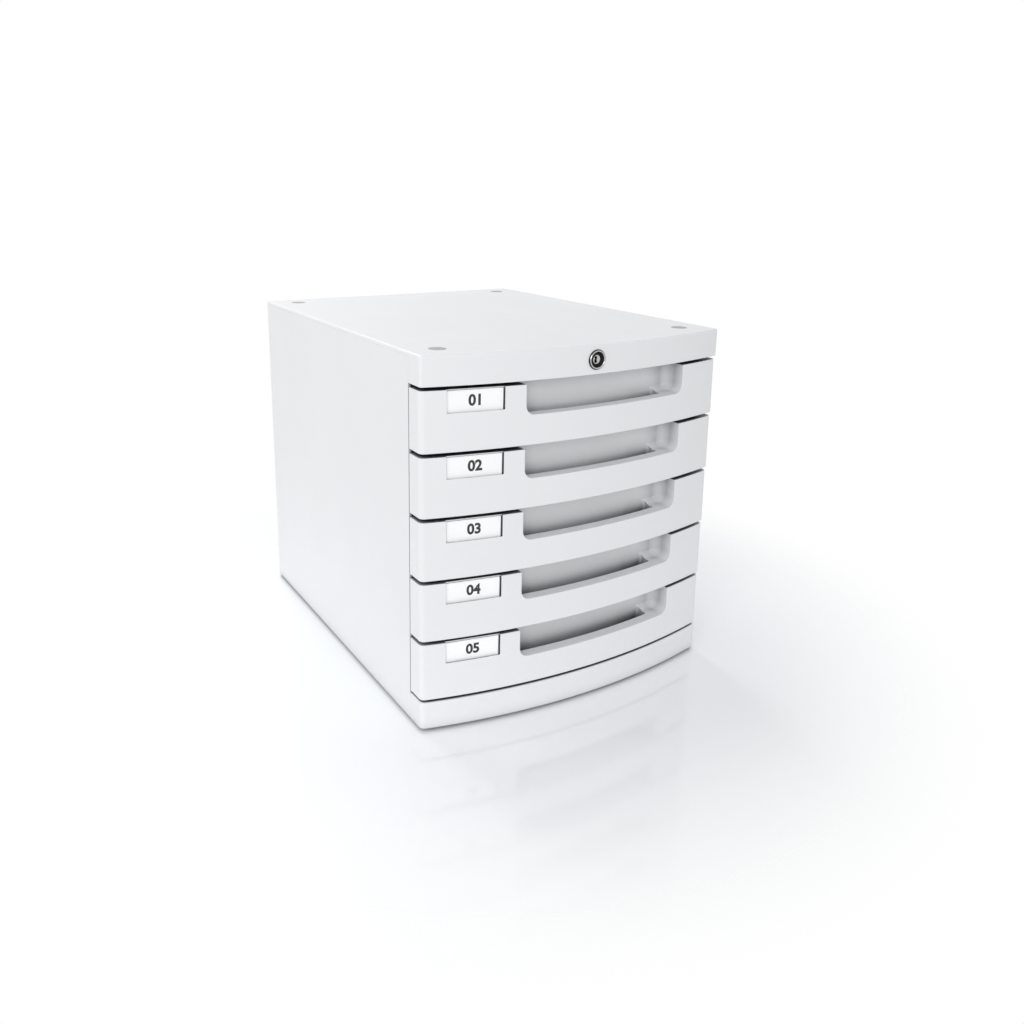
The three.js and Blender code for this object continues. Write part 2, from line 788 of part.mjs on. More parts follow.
function lockCrank() {
  const pinX = -crankInset;
  const pinZ = lockLevel - crankLift;
  const hub = levelDrum(0, [crankFrontY, crankRearY], lockLevel, crankHubRadius);
  const eye = levelDrum(pinX, [crankFrontY, crankRearY], pinZ, crankEyeRadius);
  const pin = levelDrum(pinX, [crankRearY - crankThickness / 2, barRearY], pinZ, crankPinRadius, smallSides);
  const squareHole = block(
    [-rodSquare / 2 - seatGap, rodSquare / 2 + seatGap],
    [crankFrontY - overrun, crankRearY + overrun],
    [lockLevel - rodSquare / 2 - seatGap, lockLevel + rodSquare / 2 + seatGap],
  );
  return without(joined([hub, eye, pin]), [squareHole]);
}

// Drawer front, drawn with its lower edge at level zero
function leanBack(geometry) {
  const position = geometry.attributes.position;
  for (let index = 0; index < position.count; index += 1) {
    if (position.getY(index) < frontBackY) {
      const heightShare = position.getZ(index) / frontHeight;
      position.setY(index, position.getY(index) + frontLean * heightShare);
    }
  }
  return geometry;
}

const gripLeft = gripOffset - gripWidth / 2;
const gripRight = gripOffset + gripWidth / 2;
const gripBackY = bowY + gripDepth;
const ledgeLevel = frontHeight - gripDrop;
const wellX = [gripLeft + wellLeftMargin, gripRight - wellRightMargin];

function wellPlan(grow) {
  const y = gripBackY + grow;
  const x = [wellX[0] - grow, wellX[1] + grow];
  const frontRadius = bowRadius - ledgeDepth + grow;
  const from = Math.asin(x[0] / frontRadius) - quarterTurn;
  const to = Math.asin(x[1] / frontRadius) - quarterTurn;
  const first = new THREE.Vector2(x[0], bowAt(x[0], ledgeDepth - grow));
  const front = arcPoints(0, bowCentreY, frontRadius, from, to, wellSteps);
  return [first, ...front, new THREE.Vector2(x[1], y), new THREE.Vector2(x[0], y)];
}

function fingerPocket() {
  const x = [gripLeft, gripRight];
  const y = [bowY - overrun, gripBackY];
  const z = [ledgeLevel, frontHeight + overrun];
  const frontView = pushedBack(
    roundedRectangle(x, z, [gripCornerRadius, 0, 0, gripCornerRadius]),
    y,
  );
  const planView = toSolid(raised(
    roundedRectangle(x, y, [0, gripEndRadius, gripEndRadius, 0]),
    z,
  ));
  const sideView = pushedAcross(
    roundedRectangle(y, z, [gripFillet, 0, 0, 0]),
    x,
  );
  return frontView.intersect(planView).intersect(sideView);
}

function fingerWell() {
  const plan = toSolid(raised(wellPlan(0), [wellFloor, ledgeLevel + gripFillet]));
  const sideView = pushedAcross(
    roundedRectangle(
      [bowY, gripBackY],
      [wellFloor, ledgeLevel + gripFillet + overrun],
      [wellRound, 0, 0, 0],
    ),
    [wellX[0] - overrun, wellX[1] + overrun],
  );
  return plan.intersect(sideView);
}

// The label lies on a flat that touches the bow at its middle
const labelOffset = halfWidth - labelMargin;
const labelTurn = -Math.asin(labelOffset / bowRadius);
const labelX = -labelOffset;
const labelY = bowAt(labelOffset) + frontLean;
const windowBottom = frontHeight - labelDrop;
const slotBottom = windowBottom - labelFootSlot;

function atLabel(solid) {
  const geometry = toGeometry(solid);
  geometry.rotateZ(labelTurn);
  geometry.translate(labelX, labelY, 0);
  return toSolid(geometry);
}

const pegPlaces = [-halfWidth + pegMargin, halfWidth - pegMargin];

function drawerFront() {
  const outer = toSolid(leanBack(raised(
    bowedPlan(frontBackY + overrun, frontCornerRadius),
    [0, frontHeight],
    frontEdgeRound,
  )));
  const hollow = toSolid(leanBack(raised(
    bowedPlan(frontBackY + 2 * overrun, frontCornerRadius, frontWall),
    [frontWall, frontHeight - frontWall],
  )));
  const behind = block(
    [-halfWidth - overrun, halfWidth + overrun],
    [frontBackY, frontBackY + 2 * overrun],
    [-overrun, frontHeight + overrun],
  );
  const shell = without(outer, [behind, hollow]);
  const pocketBody = block(
    [gripLeft - pocketWall, gripRight + pocketWall],
    [bowY, gripBackY + pocketWall],
    [ledgeLevel - pocketWall, frontHeight],
  );
  const wellBody = toSolid(raised(wellPlan(pocketWall), [wellFloor - pocketWall, ledgeLevel]));
  const labelBody = atLabel(block(
    [-labelWidth / 2 - labelBacking, labelWidth / 2 + labelBacking],
    [frontWall / 2, labelDepth + labelBacking],
    [slotBottom - labelBacking, frontHeight - frontWall / 2],
  ));
  const bosses = pegPlaces.map((x) => {
    return levelDrum(x, [bowAt(x) + frontWall / 2, frontBackY], pegHeight, pegBossRadius, smallSides);
  });
  const inside = joined([pocketBody, wellBody, labelBody, ...bosses]).intersect(outer);
  const pegY = [frontBackY - pegBossRadius, frontBackY + seatGap + trayWall + pegTail];
  const pegs = pegPlaces.map((x) => levelDrum(x, pegY, pegHeight, pegRadius, smallSides));
  const labelWindow = atLabel(block(
    [-labelWidth / 2, labelWidth / 2],
    [-overrun, labelDepth],
    [windowBottom, frontHeight + overrun],
  ));
  const labelSlot = atLabel(block(
    [-labelWidth / 2, labelWidth / 2],
    [labelDepth - cardThickness - clearCoverThickness - 3 * seatGap, labelDepth],
    [slotBottom, windowBottom + seatGap],
  ));
  return without(
    joined([shell, inside, ...pegs]),
    [fingerPocket(), fingerWell(), labelWindow, labelSlot],
  );
}

// Card and clear cover, in the label's own turned frame
function labelCard() {
  const y = labelDepth - seatGap - cardThickness;
  return toGeometry(block(
    [-labelWidth / 2 + seatGap, labelWidth / 2 - cardSideMargin],
    [y, y + cardThickness],
    [slotBottom + seatGap, frontHeight - cardTopMargin],
  ));
}

function labelCover() {
  const y = labelDepth - 2 * seatGap - cardThickness - clearCoverThickness;
  return toGeometry(block(
    [-labelWidth / 2 + seatGap, labelWidth / 2 - seatGap],
    [y, y + clearCoverThickness],
    [slotBottom + seatGap, frontHeight - cardTopMargin],
  ));
}

// Drawer tray, drawn with the front's lower edge at level zero
const trayFrontY = frontBackY + seatGap;
const trayInner = [-trayHalfWidth + trayWall, trayHalfWidth - trayWall];

function drawerTray() {
  const outerRadii = [trayCornerRadius, trayCornerRadius, trayCornerRadius, trayCornerRadius];
  const innerRadii = outerRadii.map((radius) => radius - trayWall);
  const outer = toSolid(raised(
    roundedRectangle([-trayHalfWidth, trayHalfWidth], [trayFrontY, trayRearY], outerRadii),
    [trayLift, rimHeight],
  ));
  const room = toSolid(raised(
    roundedRectangle(trayInner, [trayFrontY + trayWall, trayRearY - trayWall], innerRadii),
    [trayLift + trayWall, rimHeight + overrun],
  ));
  const flangeZ = [rimHeight - flangeThickness, rimHeight];
  const flangeY = [trayFrontY + trayCornerRadius, trayRearY - trayCornerRadius];
  const stopRearY = panelFrontY + runnerSetback + stopLength;
  const earY = [stopRearY + drawerTravel + seatGap, stopRearY + drawerTravel + seatGap + earLength];
  const flanges = [-1, 1].flatMap((side) => [
    block(across(side, trayHalfWidth - trayWall / 2, trayHalfWidth + flangeReach), flangeY, flangeZ),
    block(across(side, trayHalfWidth, innerHalfWidth - runGap), earY, flangeZ),
  ]);
  const catchX = [barMiddle - catchWidth / 2, barMiddle + catchWidth / 2];
  const catches = [
    block(catchX, [trayRearY - trayWall / 2, lipRearY], [rimHeight - catchTab, rimHeight]),
    block(catchX, [lipFrontY, lipRearY], [rimHeight - catchTab - lipLength, rimHeight]),
  ];
  const holeY = [trayFrontY - overrun, trayFrontY + trayWall + seatGap];
  const pegHoles = pegPlaces.map((x) => {
    return levelDrum(x, holeY, pegHeight, pegRadius + seatGap, smallSides);
  });
  return without(joined([outer.subtract(room), ...flanges, ...catches]), pegHoles);
}

// Round cap over a screw of the top cover
function topCap() {
  return turned([
    [0, 0],
    [capRadius, 0],
    [capRadius, capThickness - capEdgeRound],
    [capRadius - capEdgeRound, capThickness],
    [0, capThickness],
  ]);
}

function rubberFoot() {
  const height = footProud + footSeat - seatGap;
  return turned([
    [0, 0],
    [footRadius - footEdgeRound, 0],
    [footRadius, footEdgeRound],
    [footRadius, height],
    [0, height],
  ]);
}

// Assembly
const cabinet = new THREE.Group();

cabinet.add(piece("top_cover", toGeometry(topCover()), "casing"));
cabinet.add(piece("base_plate", toGeometry(basePlate()), "casing"));
cabinet.add(piece("left_side_panel", toGeometry(sidePanel(-1)), "casing"));
cabinet.add(piece("right_side_panel", toGeometry(sidePanel(1)), "casing"));
cabinet.add(piece("back_panel", toGeometry(backPanel()), "casing"));

for (const { name, x, y } of cornerPlaces) {
  const cap = piece(`top_cap_${name}`, topCap(), "cap");
  cap.position.set(x, y, casingTop - capThickness);
  const topScrew = piece(`top_screw_${name}`, countersunkScrew(), "steel");
  topScrew.position.set(x, y, coverScrewLevel - screwLength);
  const baseScrew = piece(`base_screw_${name}`, countersunkScrew(), "steel");
  baseScrew.rotation.x = 2 * quarterTurn;
  baseScrew.position.set(x, y, baseScrewLevel + screwLength);
  const foot = piece(`foot_${name}`, rubberFoot(), "rubber");
  foot.position.set(x, y, 0);
  cabinet.add(cap, topScrew, baseScrew, foot);
}

cabinet.add(piece("lock_ring", toGeometry(lockRing()), "chrome"));
cabinet.add(piece("lock_barrel", toGeometry(lockBarrel()), "black"));
cabinet.add(piece("lock_nut", toGeometry(lockNut()), "steel"));
cabinet.add(piece("lock_plug", toGeometry(lockPlug()), "brass"));
cabinet.add(piece("lock_rod", toGeometry(lockRod()), "steel"));
cabinet.add(piece("lock_crank", toGeometry(lockCrank()), "steel"));
cabinet.add(piece("lock_bar", toGeometry(lockBar()), "steel"));

for (const { name, y } of bracketRows) {
  cabinet.add(piece(`rod_bracket_${name}`, toGeometry(rodBracket(y)), "tray"));
  const screw = piece(
    `bracket_screw_${name}`,
    smallScrew(bracketFlange + seatGap + smallScrewReach),
    "steel",
  );
  screw.rotation.x = 2 * quarterTurn;
  screw.position.set(bracketScrewOffset, y, bossBottom + smallScrewReach);
  cabinet.add(screw);
}

for (const { name, z } of guideLevels) {
  cabinet.add(piece(`bar_guide_${name}`, toGeometry(barGuide(z)), "tray"));
  for (const place of guideScrewX) {
    const screw = piece(
      `guide_screw_${name}_${place.name}`,
      smallScrew(guideFootThickness + seatGap + smallScrewReach),
      "steel",
    );
    screw.rotation.x = quarterTurn;
    screw.position.set(place.x, backPanelFrontY + smallScrewReach, z);
    cabinet.add(screw);
  }
}

const frontGeometry = toGeometry(drawerFront());
const trayGeometry = toGeometry(drawerTray());
const cardGeometry = labelCard();
const coverGeometry = labelCover();

for (let row = 0; row < drawerCount; row += 1) {
  const number = drawerCount - row;
  const drawer = new THREE.Group();
  drawer.position.z = firstFrontBottom + row * drawerPitch;
  drawer.add(piece(`drawer_front_${number}`, frontGeometry, "casing"));
  drawer.add(piece(`drawer_tray_${number}`, trayGeometry, "tray"));
  const label = new THREE.Group();
  label.position.set(labelX, labelY, 0);
  label.rotation.z = labelTurn;
  label.add(piece(`label_card_${number}`, cardGeometry, "card"));
  label.add(piece(`label_cover_${number}`, coverGeometry, "clear"));
  drawer.add(label);
  cabinet.add(drawer);
}

export default cabinet;
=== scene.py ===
# %% [markdown]
# # A desktop cabinet with five drawers and one lock
# The real cabinet is moulded from pale grey-white plastic. Its drawer fronts, the band above them
# and the plinth below all share one bowed outline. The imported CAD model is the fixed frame: it says
# where every piece is, and each piece below is shaped and finished around it.

import math

import bmesh
import bpy
from mathutils import Matrix, Vector


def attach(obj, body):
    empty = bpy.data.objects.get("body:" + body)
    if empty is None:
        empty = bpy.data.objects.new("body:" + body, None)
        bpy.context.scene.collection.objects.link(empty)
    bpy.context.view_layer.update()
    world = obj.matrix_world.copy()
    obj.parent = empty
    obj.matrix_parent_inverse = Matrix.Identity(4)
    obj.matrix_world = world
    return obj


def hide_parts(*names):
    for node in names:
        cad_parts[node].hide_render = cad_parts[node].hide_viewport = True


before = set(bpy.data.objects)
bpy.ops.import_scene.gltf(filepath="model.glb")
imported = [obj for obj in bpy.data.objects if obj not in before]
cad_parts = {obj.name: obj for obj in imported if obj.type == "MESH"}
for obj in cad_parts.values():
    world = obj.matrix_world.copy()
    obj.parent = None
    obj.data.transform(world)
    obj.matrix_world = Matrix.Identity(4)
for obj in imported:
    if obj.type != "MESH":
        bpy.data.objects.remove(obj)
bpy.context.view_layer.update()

# %% [markdown]
# ## Sizes
# The pieces are drawn in millimetres, because the sizes of a moulded cabinet are easier to read that
# way. Each finished mesh is then brought to metres. The names say what each size is on the cabinet.

# %% Main sizes in millimetres
MM = 0.001
HALF_WIDTH = 150.0
FOREMOST = -190.25  # the middle of the bowed front
BOW_RISE = 19.3
REAR = 191.85
PANEL_FRONT = -150.95
FRONT_BACK = -151.85
WALL = 2.5
SEAT = 0.3  # the gap between pieces that are clamped to each other
CASING_BOTTOM = 1.8
PLINTH_TOP = 26.6
FASCIA_BOTTOM = 292.6
CASING_TOP = 317.0
COVER_UNDERSIDE = 313.8
LOCK_LEVEL = 304.8
FIRST_FRONT = 29.0
PITCH = 52.8
FRONT_HEIGHT = 50.0
DRAWERS = 5
CAP_X = 123.5
CAP_FRONT = -148.95
CAP_REAR = 166.85
CORNERS = {
    "front_left": (-CAP_X, CAP_FRONT),
    "front_right": (CAP_X, CAP_FRONT),
    "rear_left": (-CAP_X, CAP_REAR),
    "rear_right": (CAP_X, CAP_REAR),
}
print("the cabinet is", 2 * HALF_WIDTH, "mm wide and", CASING_TOP, "mm high")

# %% The bow across the front, and the level of each drawer
BOW_RADIUS = (HALF_WIDTH ** 2 + BOW_RISE ** 2) / (2 * BOW_RISE)
BOW_CENTRE = FOREMOST + BOW_RADIUS


def bow_at(x, inset=0.0):
    """The place along Y of the bowed front at x, or of a face that lies inset behind it."""
    return BOW_CENTRE - math.sqrt((BOW_RADIUS - inset) ** 2 - x * x)


def front_bottom(number):
    """The level of the lower edge of a drawer front; number 1 is the top drawer."""
    return FIRST_FRONT + (DRAWERS - number) * PITCH


print("bow radius:", round(BOW_RADIUS, 1), "mm")

# %% [markdown]
# ## Camera
# The camera stands where the photographer stood: to the left, a little above the cabinet, looking
# down by fifteen degrees. Moving a camera by eye rarely fits better than roughly, so its place and
# lens were worked out from the cabinet's vertical and horizontal edges instead. The picture is off
# centre, so the lens is shifted a little, as with a view camera.

# %% Camera
LOOK = Vector((0.48007, 0.83811, -0.25903))  # the way the lens points
RIGHT = Vector((0.86897, -0.49478, 0.00960))  # the way of the picture's lower edge
CAMERA_PLACE = Vector((-0.45206, -0.76961, 0.44010))
LENS = 32.205
SHIFT = (0.04416, -0.08013)


def keep(name, data):
    """Puts a mesh, a text, a lamp or a camera into the scene, at the origin."""
    made = bpy.data.objects.new(name, data)
    bpy.context.scene.collection.objects.link(made)
    return made


camera_data = bpy.data.cameras.new("camera")
camera_data.lens = LENS
camera_data.sensor_width = 36.0
camera_data.shift_x, camera_data.shift_y = SHIFT
camera_data.clip_start = 0.05
camera_data.clip_end = 50.0
camera = keep("camera", camera_data)
up = RIGHT.cross(LOOK)
turn = Matrix((RIGHT, up, -LOOK)).transposed().to_4x4()
camera.matrix_world = Matrix.Translation(CAMERA_PLACE) @ turn
bpy.context.scene.camera = camera
print("camera at", tuple(round(value, 3) for value in CAMERA_PLACE), "lens", LENS)

# %% [markdown]
# ## A helper that writes node trees
# Both finishes and geometry rules are node trees. Plain Blender calls need three or four lines for
# each node. This small helper puts a node down, feeds its sockets and joins it up in one line, which
# keeps the trees below short enough to read.


# %% Node tree helper
class Wires:
    """Puts nodes into a tree and joins them."""

    def __init__(self, tree):
        self.tree = tree

    def feed(self, socket, value):
        if isinstance(value, bpy.types.NodeSocket):
            self.tree.links.new(value, socket)
        else:
            socket.default_value = value

    def node(self, kind, settings=None, **sockets):
        made = self.tree.nodes.new(kind)
        for key, value in (settings or {}).items():
            setattr(made, key, value)
        for key, value in sockets.items():
            name = key.replace("_", " ")
            self.feed(next(s for s in made.inputs if s.identifier == name or s.name == name), value)
        return made

    def put(self, kind, settings=None, **sockets):
        return self.node(kind, settings, **sockets).outputs[0]

    def in_order(self, kind, settings, *values):
        """A node whose first sockets take these values, one after the other."""
        made = self.node(kind, settings)
        for socket, value in zip(made.inputs, values):
            self.feed(socket, value)
        return made.outputs[0]

    def sum(self, operation, first, second=0.0):
        """One step of arithmetic."""
        return self.in_order("ShaderNodeMath", {"operation": operation}, first, second)

    def times(self, first, second):
        return self.sum("MULTIPLY", first, second)

    def minus(self, value):
        return self.times(value, -1.0)

    def point(self, x, y, z=0.0):
        return self.in_order("ShaderNodeCombineXYZ", {}, x, y, z)

    def blend(self, share, first, second):
        """A colour on the way from the first to the second."""
        made = self.node("ShaderNodeMix", {"data_type": "RGBA"}, Factor=share)
        self.feed(made.inputs[6], first)  # this node has a set of sockets for each kind of value
        self.feed(made.inputs[7], second)
        return made.outputs[2]


print("the node helper is ready")


# %% The same helper for Geometry Nodes
class Shape(Wires):
    """A Geometry Nodes tree with named inputs."""

    def __init__(self, name):
        super().__init__(bpy.data.node_groups.new(name, "GeometryNodeTree"))
        self.tree.interface.new_socket("Geometry", in_out="OUTPUT", socket_type="NodeSocketGeometry")
        self.inputs = self.tree.nodes.new("NodeGroupInput")
        self.outputs = self.tree.nodes.new("NodeGroupOutput")

    def size(self, name, kind="NodeSocketFloat"):
        self.tree.interface.new_socket(name, in_out="INPUT", socket_type=kind)
        return self.inputs.outputs[name]

    def sizes(self, *names):
        return [self.size(name) for name in names]

    def coordinates(self):
        made = self.tree.nodes.new("ShaderNodeSeparateXYZ")
        self.tree.links.new(self.put("GeometryNodeInputPosition"), made.inputs[0])
        return list(made.outputs)

    def joined(self, *geometries):
        made = self.tree.nodes.new("GeometryNodeJoinGeometry")
        for geometry in geometries:
            self.tree.links.new(geometry, made.inputs[0])
        return made.outputs[0]

    def finished(self, geometry):
        """Ends the tree: copies become real, and all of it is dressed in one material."""
        material = self.size("Material", "NodeSocketMaterial")
        real = self.put("GeometryNodeRealizeInstances", Geometry=geometry)
        dressed = self.put("GeometryNodeSetMaterial", Geometry=real, Material=material)
        self.feed(self.outputs.inputs[0], dressed)
        return self.tree


print("the helper for Geometry Nodes is ready")

# %% [markdown]
# ## Finishes
# A finish could be a picture that is wrapped around each piece. These are made of nodes instead,
# which need no unwrapping and stay sharp close up. They read the piece's own Object coordinates, so
# a finish sits still on its piece in every view. The casing plastic has a fine spark-eroded grain, a
# faint cloudiness from the mould and a sheen that changes a little from place to place. The other
# finishes use the same idea with their own scale: paper has fibres, steel has drawn lines, rubber
# has dust.
#
# The narrow gap lines of the real cabinet look almost black, because hardly any light gets into
# them. Pale walls in the render would throw light from one to the other and glow instead. So shade
# is painted into the casing plastic: it gets darker where another surface stands close. An Ambient
# Occlusion node measures that on the shapes alone, so the painted shade holds from every side and in
# every pose.


# %% What every finish starts and ends with
def started(name):
    """A new material with its wires, its main shader and the place on the piece."""
    material = bpy.data.materials.new(name)
    material.use_nodes = True
    w = Wires(material.node_tree)
    place = w.node("ShaderNodeTexCoord").outputs["Object"]
    return material, w, w.tree.nodes["Principled BSDF"], place


def joined_up(w, shader, colour, roughness, bumps):
    """Leads the colour, the roughness and the bumps into the main shader."""
    for name, value in (("Base Color", colour), ("Roughness", roughness), ("Normal", bumps)):
        w.feed(shader.inputs[name], value)


print("finish helpers are ready")

# %% Painted shade in the gap lines and deep corners
PAINTED_SHADE_REACH = 0.026  # how near another surface has to stand, in metres
PAINTED_SHADE_SHARES = (0.03, 0.76)  # the open share at which the painted shade is darkest, and that from which there is none
# the colour of the painted shade where it is darkest
PAINTED_SHADE_COLOUR = (0.018, 0.021, 0.032, 1.0)


def with_painted_shade(w, colour):
    """The colour with painted shade: darker where other surfaces stand close."""
    open_share = w.node("ShaderNodeAmbientOcclusion", {"samples": 16}, Distance=PAINTED_SHADE_REACH).outputs["AO"]
    unshaded_share = w.put("ShaderNodeMapRange", {"interpolation_type": "SMOOTHSTEP"}, Value=open_share,
                  From_Min=PAINTED_SHADE_SHARES[0], From_Max=PAINTED_SHADE_SHARES[1])
    return w.blend(unshaded_share, PAINTED_SHADE_COLOUR, colour)


print("the plastic darkens where another surface stands within", round(PAINTED_SHADE_REACH / MM), "mm")


# %% Finish for moulded plastic, rubber and paper
def cloudy(name, colour, other, roughness, cloud=14.0, grain=1400.0, bump=0.06, painted_gap_shade=False, **fixed):
    """A finish with two near colours in soft clouds, a fine grain and a sheen that varies."""
    material, w, shader, place = started(name)
    clouds = w.put("ShaderNodeTexNoise", Vector=place, Scale=cloud, Detail=4.0, Roughness=0.6)
    specks = w.put("ShaderNodeTexNoise", Vector=place, Scale=grain, Detail=2.0, Roughness=0.6)
    final = w.blend(clouds, (*colour, 1.0), (*other, 1.0))
    # painted shade: darker where other surfaces stand close
    if painted_gap_shade:
        final = with_painted_shade(w, final)
    sheen = w.put("ShaderNodeMapRange", Value=clouds, From_Min=0.3, From_Max=0.7,
                  To_Min=roughness - 0.05, To_Max=roughness + 0.05)
    bumps = w.put("ShaderNodeBump", Strength=bump, Distance=0.0002, Height=specks)
    joined_up(w, shader, final, sheen, bumps)
    for key, value in fixed.items():
        shader.inputs[key.replace("_", " ")].default_value = value
    print("made the finish", name)
    return material


print("the helper for cloudy finishes is ready")

# %% Finish for metal
RIM_EDGE = 0.0001  # how soft the edge of the painted dark reflection is to either side, in metres
PAINTED_RIM_REFLECTION = (0.03, 0.03, 0.032, 1.0)


def painted_dark_rim(w, colour, place, level, radius):
    """The colour with a painted dark reflection, beyond a radius from a level front-to-back axis."""
    x, _, z = w.node("ShaderNodeSeparateXYZ", Vector=place).outputs
    apart = w.point(x, 0.0, w.sum("SUBTRACT", z, level))
    reach = w.node("ShaderNodeVectorMath", {"operation": "LENGTH"}, Vector=apart).outputs["Value"]
    outside = w.put("ShaderNodeMapRange", Value=reach,
                    From_Min=radius - RIM_EDGE, From_Max=radius + RIM_EDGE)
    return w.blend(outside, colour, PAINTED_RIM_REFLECTION)


def drawn_metal(name, colour, roughness, lines=(1.0, 1.0, 1.0), bump=0.05, rim=None):
    """A metal with faint lines, which run along the axis that has the small share."""
    material, w, shader, place = started(name)
    stretched = w.put("ShaderNodeMapping", Vector=place, Scale=lines)
    streaks = w.put("ShaderNodeTexNoise", Vector=stretched, Scale=900.0, Detail=3.0)
    stains = w.put("ShaderNodeTexNoise", Vector=place, Scale=60.0, Detail=3.0)
    final = w.blend(stains, (*colour, 1.0), (*(0.82 * value for value in colour), 1.0))
    # a painted dark reflection on the outer slope of the ring
    if rim:
        final = painted_dark_rim(w, final, place, LOCK_LEVEL * MM, rim)
    sheen = w.put("ShaderNodeMapRange", Value=streaks, To_Min=roughness * 0.7, To_Max=roughness * 1.3)
    bumps = w.put("ShaderNodeBump", Strength=bump, Distance=0.0001, Height=streaks)
    joined_up(w, shader, final, sheen, bumps)
    shader.inputs["Metallic"].default_value = 1.0
    print("made the finish", name)
    return material


print("the helper for metal finishes is ready")

# %% The finishes of this cabinet
# the casing plastic carries painted shade where other surfaces stand close
casing_plastic = cloudy("casing_plastic", (0.79, 0.795, 0.803), (0.765, 0.77, 0.78), 0.42, painted_gap_shade=True)
tray_plastic = cloudy("tray_plastic", (0.70, 0.705, 0.725), (0.67, 0.676, 0.695), 0.38, cloud=9.0)
cap_plastic = cloudy("cap_plastic", (0.36, 0.365, 0.37), (0.31, 0.316, 0.322), 0.48, grain=2200.0)
foot_rubber = cloudy("foot_rubber", (0.025, 0.025, 0.027), (0.045, 0.044, 0.043), 0.8,
                     grain=900.0, bump=0.2)
lock_black = cloudy("lock_black", (0.003, 0.003, 0.004), (0.006, 0.006, 0.007), 0.35,
                    grain=2500.0, Specular_IOR_Level=0.12)
card_paper = cloudy("card_paper", (0.97, 0.97, 0.965), (0.94, 0.94, 0.935), 0.85,
                    cloud=90.0, grain=3200.0, bump=0.12)
card_ink = cloudy("card_ink", (0.004, 0.004, 0.005), (0.012, 0.012, 0.013), 0.7,
                  cloud=260.0, grain=4000.0, Specular_IOR_Level=0.08)
clear_sheet = cloudy("clear_sheet", (0.96, 0.97, 0.98), (0.9, 0.92, 0.94), 0.1,
                     cloud=30.0, bump=0.02, Alpha=0.03)
# The lock's ring gets a painted dark reflection on its outer slope, beyond 7.6 mm from the middle
chrome = drawn_metal("chrome", (0.52, 0.525, 0.53), 0.16, bump=0.02, rim=7.6 * MM)
nickel = drawn_metal("nickel", (0.55, 0.545, 0.535), 0.22, lines=(1.0, 0.1, 1.0))
zinc = drawn_metal("zinc", (0.56, 0.57, 0.58), 0.36, lines=(1.0, 0.08, 1.0), bump=0.1)
zinc_strip = drawn_metal("zinc_strip", (0.56, 0.57, 0.58), 0.38, lines=(1.0, 1.0, 0.06), bump=0.12)
print("finishes:", len(bpy.data.materials))

# %% [markdown]
# ## Helpers that make closed shapes
# A mesh can be typed in point by point, but it is easier to read and to change when it is built from
# a few simple solids. So a shape starts as a set of level outlines that are joined like the rings of
# a barrel and closed at both ends. Shapes are then added to and cut from each other, as a mould
# maker does, and the sharp edges that remain are rounded, because no moulded edge is perfectly sharp.


# %% Outlines
def filleted(points, radii, steps=6):
    """The outline with an arc at each corner whose radius is over zero."""
    outline = []
    for index, radius in enumerate(radii):
        here = Vector(points[index])
        before = (Vector(points[index - 1]) - here).normalized()
        after = (Vector(points[(index + 1) % len(points)]) - here).normalized()
        if radius == 0.0:
            outline.append(tuple(here))
            continue
        half_angle = before.angle(after) / 2
        centre = here + (before + after).normalized() * radius / math.sin(half_angle)
        start = here + before * radius / math.tan(half_angle) - centre
        end = here + after * radius / math.tan(half_angle) - centre
        first = math.atan2(start.y, start.x)
        turn = (math.atan2(end.y, end.x) - first + math.pi) % (2 * math.pi) - math.pi
        for step in range(steps + 1):
            angle = first + turn * step / steps
            outline.append((centre.x + radius * math.cos(angle), centre.y + radius * math.sin(angle)))
    return outline


def rectangle(x, y, radii=(0.0, 0.0, 0.0, 0.0), steps=6):
    return filleted([(x[0], y[0]), (x[1], y[0]), (x[1], y[1]), (x[0], y[1])], radii, steps)


def circle(radius, sides):
    turns = [2 * math.pi * side / sides for side in range(sides)]
    return [(radius * math.cos(angle), radius * math.sin(angle)) for angle in turns]


print("outline helpers are ready")


# %% Solids from rings, and blocks
def from_rings(rings, closed=False):
    """A closed solid through rings of points; a closed one joins its last ring to its first."""
    work = bmesh.new()
    loops = [[work.verts.new(point) for point in ring] for ring in rings]
    count = len(loops[0])
    for lower, upper in zip(loops, loops[1:] + (loops[:1] if closed else [])):
        for index in range(count):
            after = (index + 1) % count
            work.faces.new((lower[index], lower[after], upper[after], upper[index]))
    if not closed:
        work.faces.new(loops[0])
        work.faces.new(loops[-1])
    bmesh.ops.remove_doubles(work, verts=work.verts, dist=0.0005)
    bmesh.ops.recalc_face_normals(work, faces=work.faces)
    mesh = bpy.data.meshes.new("shape")
    work.to_mesh(mesh)
    work.free()
    return keep("shape", mesh)


def placed(first, second, third, axis):
    """A point of an outline, with its third coordinate along the axis that is named."""
    return {"Z": (first, second, third), "Y": (first, third, second), "X": (third, first, second)}[axis]


def pushed(outline, limits, axis="Z"):
    """The outline pushed from one limit to the other along an axis."""
    return from_rings([[placed(*point, limit, axis) for point in outline] for limit in limits])


def block(x, y, z):
    return pushed(rectangle(x, y), z)


print("helpers for rings and blocks are ready")


# %% Turned solids, drums and tubs
def lathe(place, profile, axis="Z", sides=48, closed=False):
    """A turned solid: the profile gives radius and height; the place is where its axis runs."""
    rings = []
    for radius, height in profile:
        ring = circle(max(radius, 0.01), sides)
        rings.append([placed(place[0] + a, place[1] + b, height, axis) for a, b in ring])
    return from_rings(rings, closed)


def drum(x, y, z, radius, sides=40):
    return lathe((x, y), [(radius, z[0]), (radius, z[1])], "Z", sides)


def level_drum(x, y, z, radius, sides=40):
    return lathe((x, z), [(radius, y[0]), (radius, y[1])], "Y", sides)


